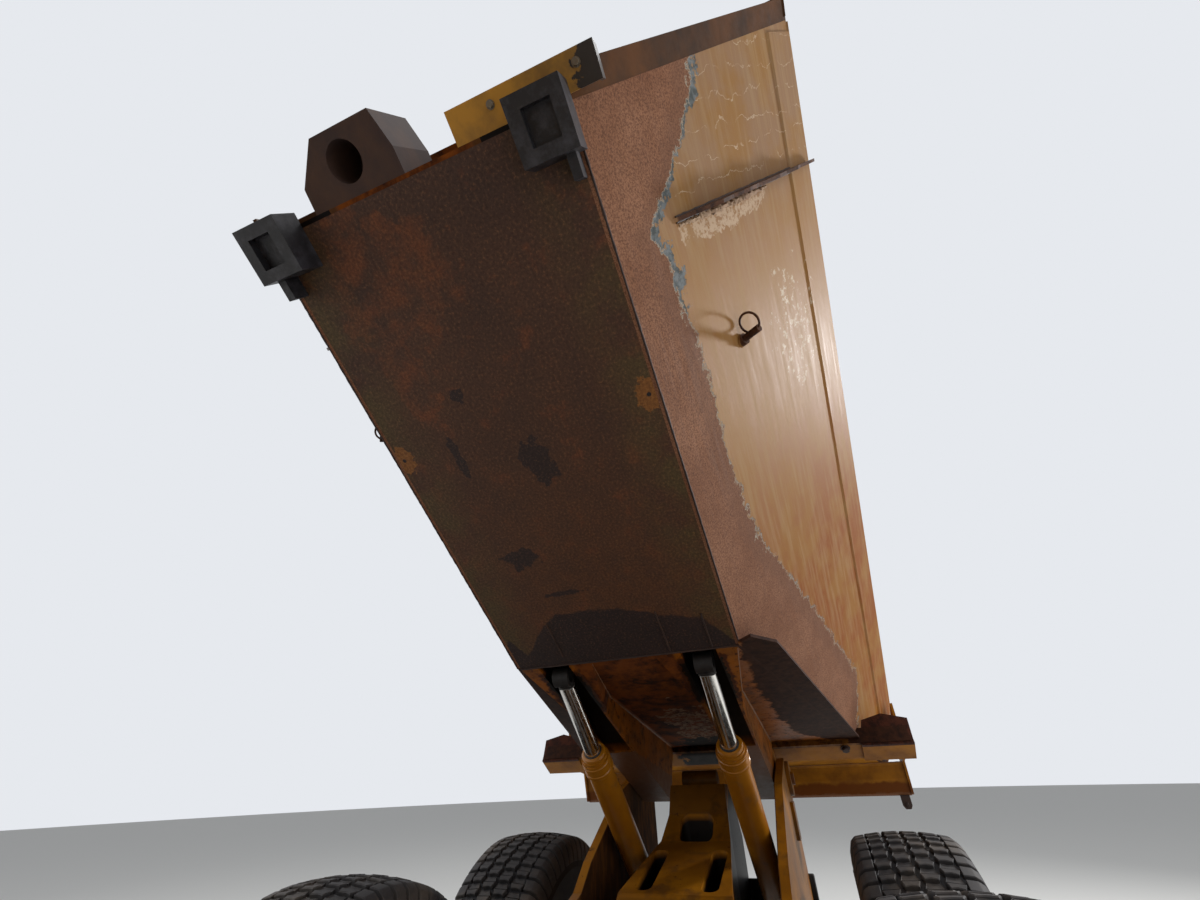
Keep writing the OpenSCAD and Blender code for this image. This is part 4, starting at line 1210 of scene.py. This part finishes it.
# %% [markdown]
# The engine shows when the hood tips. Six rocker covers sit in a row on the block, with screws
# at their corners, and an intake pipe with its clamps runs along one side.

# %% Engine
covers, screws = bmesh.new(), []
for index in range(6):
    x = 0.98 + 0.19 * index
    join(covers, block((0.165, 0.30, 0.075), (x, 0, 1.934), 0.016, 3))
    screws += [(front(x + dx, dy, 1.971), (0, 0, 1)) for dx in (-0.055, 0.055) for dy in (-0.115, 0.115)]
join(covers, spun([(0.0, 0.0), (0.032, 0.0), (0.034, 0.018), (0.0, 0.022)], 24), shift(1.17, 0, 1.971))
put(covers, front_place)
piece("rocker_covers", covers, cast_iron, "tractor")
bolts("rocker_screws", 0.009, screws, dull_zinc, "tractor")
intake = rounded([front(0.95, 0.20, 1.92), front(0.95, 0.385, 1.92), front(1.95, 0.385, 1.86),
                  front(1.95, 0.25, 1.80)], 0.08)
sweep("intake_pipe", [intake], 0.036, moulded, "tractor", sides=5)
clamps = [[front(x, 0.385, 1.92 - (x - 0.95) * 0.06), front(x + 0.03, 0.385, 1.918 - (x - 0.95) * 0.06)]
          for x in (1.15, 1.45, 1.75)]
sweep("intake_clamps", clamps, 0.040, dull_zinc, "tractor", sides=5)
print("engine dressed")

# %% [markdown]
# The seat, dash and wheel replace the plain interior solid. A foam cushion is a crowned closed
# form whose sides pull in between its corners. A subdivided block is bent to that form by one
# rule for every vertex, which keeps it in its solid's space, and a piped seam runs round it.

# %% Cab interior
floor_z = 1.676
seat_crown = 0.35               # how much of a pad's thickness is its crown


def cushion(size, pinch):
    """A foam pad about the origin: thick in the middle, drawn in along its sides."""
    bm = bmesh.new()
    bmesh.ops.create_cube(bm, size=2)
    bmesh.ops.subdivide_edges(bm, edges=bm.edges[:], cuts=11, use_grid_fill=True)
    for vert in bm.verts:
        x, y, z = vert.co
        round_off = (1 - 0.16 * (y * y) ** 2) * (1 - 0.16 * (x * x) ** 2)
        fill = (1 - abs(x) ** 3.2) * (1 - abs(y) ** 3.2)
        vert.co.x = x * (1 - pinch * (1 - y * y)) * (1 - 0.05 * z * z) * (1 - 0.05 * (y * y) ** 3)
        vert.co.y = y * (1 - pinch * (1 - x * x)) * (1 - 0.05 * z * z) * (1 - 0.05 * (x * x) ** 3)
        vert.co.z = z * (1 - seat_crown + seat_crown * fill) * round_off
        channel = math.exp(-((abs(y) - 0.52) / 0.045) ** 2) * (1 if z > 0 else 0)
        vert.co.z -= 0.16 * channel * (1 - abs(x) ** 4)
    put(bm, Matrix.Diagonal((size[0] / 2, size[1] / 2, size[2] / 2, 1)))
    return bm


def pad_piece(name, size, pinch, place):
    """A padded piece with its piping."""
    bm = cushion(size, pinch)
    put(bm, place)
    pad = piece(name, bm, seat_cloth, "tractor", 80)
    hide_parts("cab_interior")
    a, b = size[0] / 2 * 0.93, size[1] / 2 * 0.93
    seam = loop([Vector((-a, -b, 0)), Vector((-a, b, 0)), Vector((a, b, 0)), Vector((a, -b, 0))], 0.05)
    sweep(name + "_piping", [[place @ p for p in seam]], 0.005, seal_rubber, "tractor", closed=True)


pad_piece("seat_cushion", (0.51, 0.51, 0.136), 0.03, front_place @ shift(-0.39, 0, 2.046))
pad_piece("seat_back", (0.67, 0.49, 0.106), 0.04, front_place @ shift(-0.635, 0, 2.416)
          @ Matrix.Rotation(math.radians(90), 4, "Y") @ Matrix.Rotation(math.pi, 4, "Z"))
inside = blocks(((0.30, 0.36, 0.05), (-0.40, 0, 0.275), 0.012),
                ((0.26, 0.32, 0.05), (-0.40, 0, 0.026), 0.008),
                ((0.16, 1.20, 0.62), (0.445, 0, 0.325), 0.035, 4),
                ((0.13, 0.50, 0.16), (0.355, 0, 0.56), 0.03, 4),
                ((0.16, 0.98, 0.40), (-0.872, 0, 0.21), 0.02, 3))
for level in range(6):
    fold_in = 0.02 * (level % 2)
    join(inside, block((0.275 - fold_in, 0.335 - fold_in, 0.034), (-0.40, 0, 0.068 + 0.033 * level), 0.012))
for y in (-0.11, 0.11):
    join(inside, blocks(((0.13, 0.07, 0.02), (0.22, y, 0.05), 0.006), ((0.03, 0.02, 0.05), (0.26, y, 0.025))))
put(inside, front_place @ shift(0, 0, floor_z))
wheel_place = front_place @ shift(0.16, 0, floor_z + 0.715)
hub = disc(0.045, 0.03, 28, 0.006)
for angle in (90, 210, 330):
    join(hub, block((0.165, 0.026, 0.010), (0.112, 0, 0.014)), Matrix.Rotation(math.radians(angle), 4, "Z"))
join(hub, disc(0.026, 0.17, 24, 0.004), shift(0, 0, -0.165))
put(hub, wheel_place)
rim = [wheel_place @ Vector((0.200 * math.cos(math.tau * i / 40), 0.200 * math.sin(math.tau * i / 40), 0))
       for i in range(40)]
for made in (piece("cab_fittings", inside, moulded, "tractor"),
             piece("steering_hub", hub, moulded, "tractor"),
             sweep("steering_ring", [rim], 0.015, moulded, "tractor", closed=True, sides=4)):
    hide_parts("cab_interior")
print("cab fitted out")

# %% [markdown]
# The stage is a wide pale floor. The sky behind is a pale plain tone that only the camera,
# mirrors and glass see, and the object itself is lit by a soft world and four panels. The
# small hard one stands to the truck's left, because the left wall is the sunlit one.

# %% Floor, light and world
def stage_floor():
    """A wide matt disc that carries the truck's shadow."""
    bm = bmesh.new()
    bmesh.ops.create_circle(bm, cap_ends=True, segments=64, radius=60)
    mesh = bpy.data.meshes.new("stage_floor")
    bm.to_mesh(mesh)
    bm.free()
    mesh.materials.append(finish("stage paint", Base_Color="#d9d8d4", Roughness=0.9)[0])
    drawn("stage_floor", mesh)


def panel(name, place, target, size, power):
    """A soft square lamp that looks at a place."""
    data = bpy.data.lights.new(name, "AREA")
    data.shape = "SQUARE"
    data.size = size
    data.energy = power
    lamp = drawn(name, data)
    lamp.location = place
    lamp.rotation_euler = (Vector(target) - Vector(place)).to_track_quat("-Z", "Y").to_euler()


stage_floor()
panel("key_panel", (-7.7, 8.8, 7.1), (-1.0, 0, 2.5), 1.3, 960)
panel("left_panel", (4.0, 12.0, 4.5), (-1.0, 0, 2.4), 7.0, 260)
panel("top_panel", (0.0, 1.0, 14.0), (0.0, 0, 1.5), 9.0, 1000)
panel("right_panel", (2.0, -12.0, 6.0), (-1.0, 0, 2.0), 8.0, 460)
world = bpy.data.worlds.new("pale world")
bpy.context.scene.world = world
world.use_nodes = True
backdrop = world.node_tree.nodes["Background"]
backdrop.inputs["Color"].default_value = linear("#e6e9ee")
straight, glossy, through = (add(world.node_tree, "LightPath", {}, "Is " + kind + " Ray")
                             for kind in ("Camera", "Glossy", "Transmission"))
strength = (straight | glossy | through).ramp(0, 1, 0.45, 1.0)
world.node_tree.links.new(strength.socket, backdrop.inputs["Strength"])
bpy.context.scene.view_settings.view_transform = "Standard"
print("stage set")
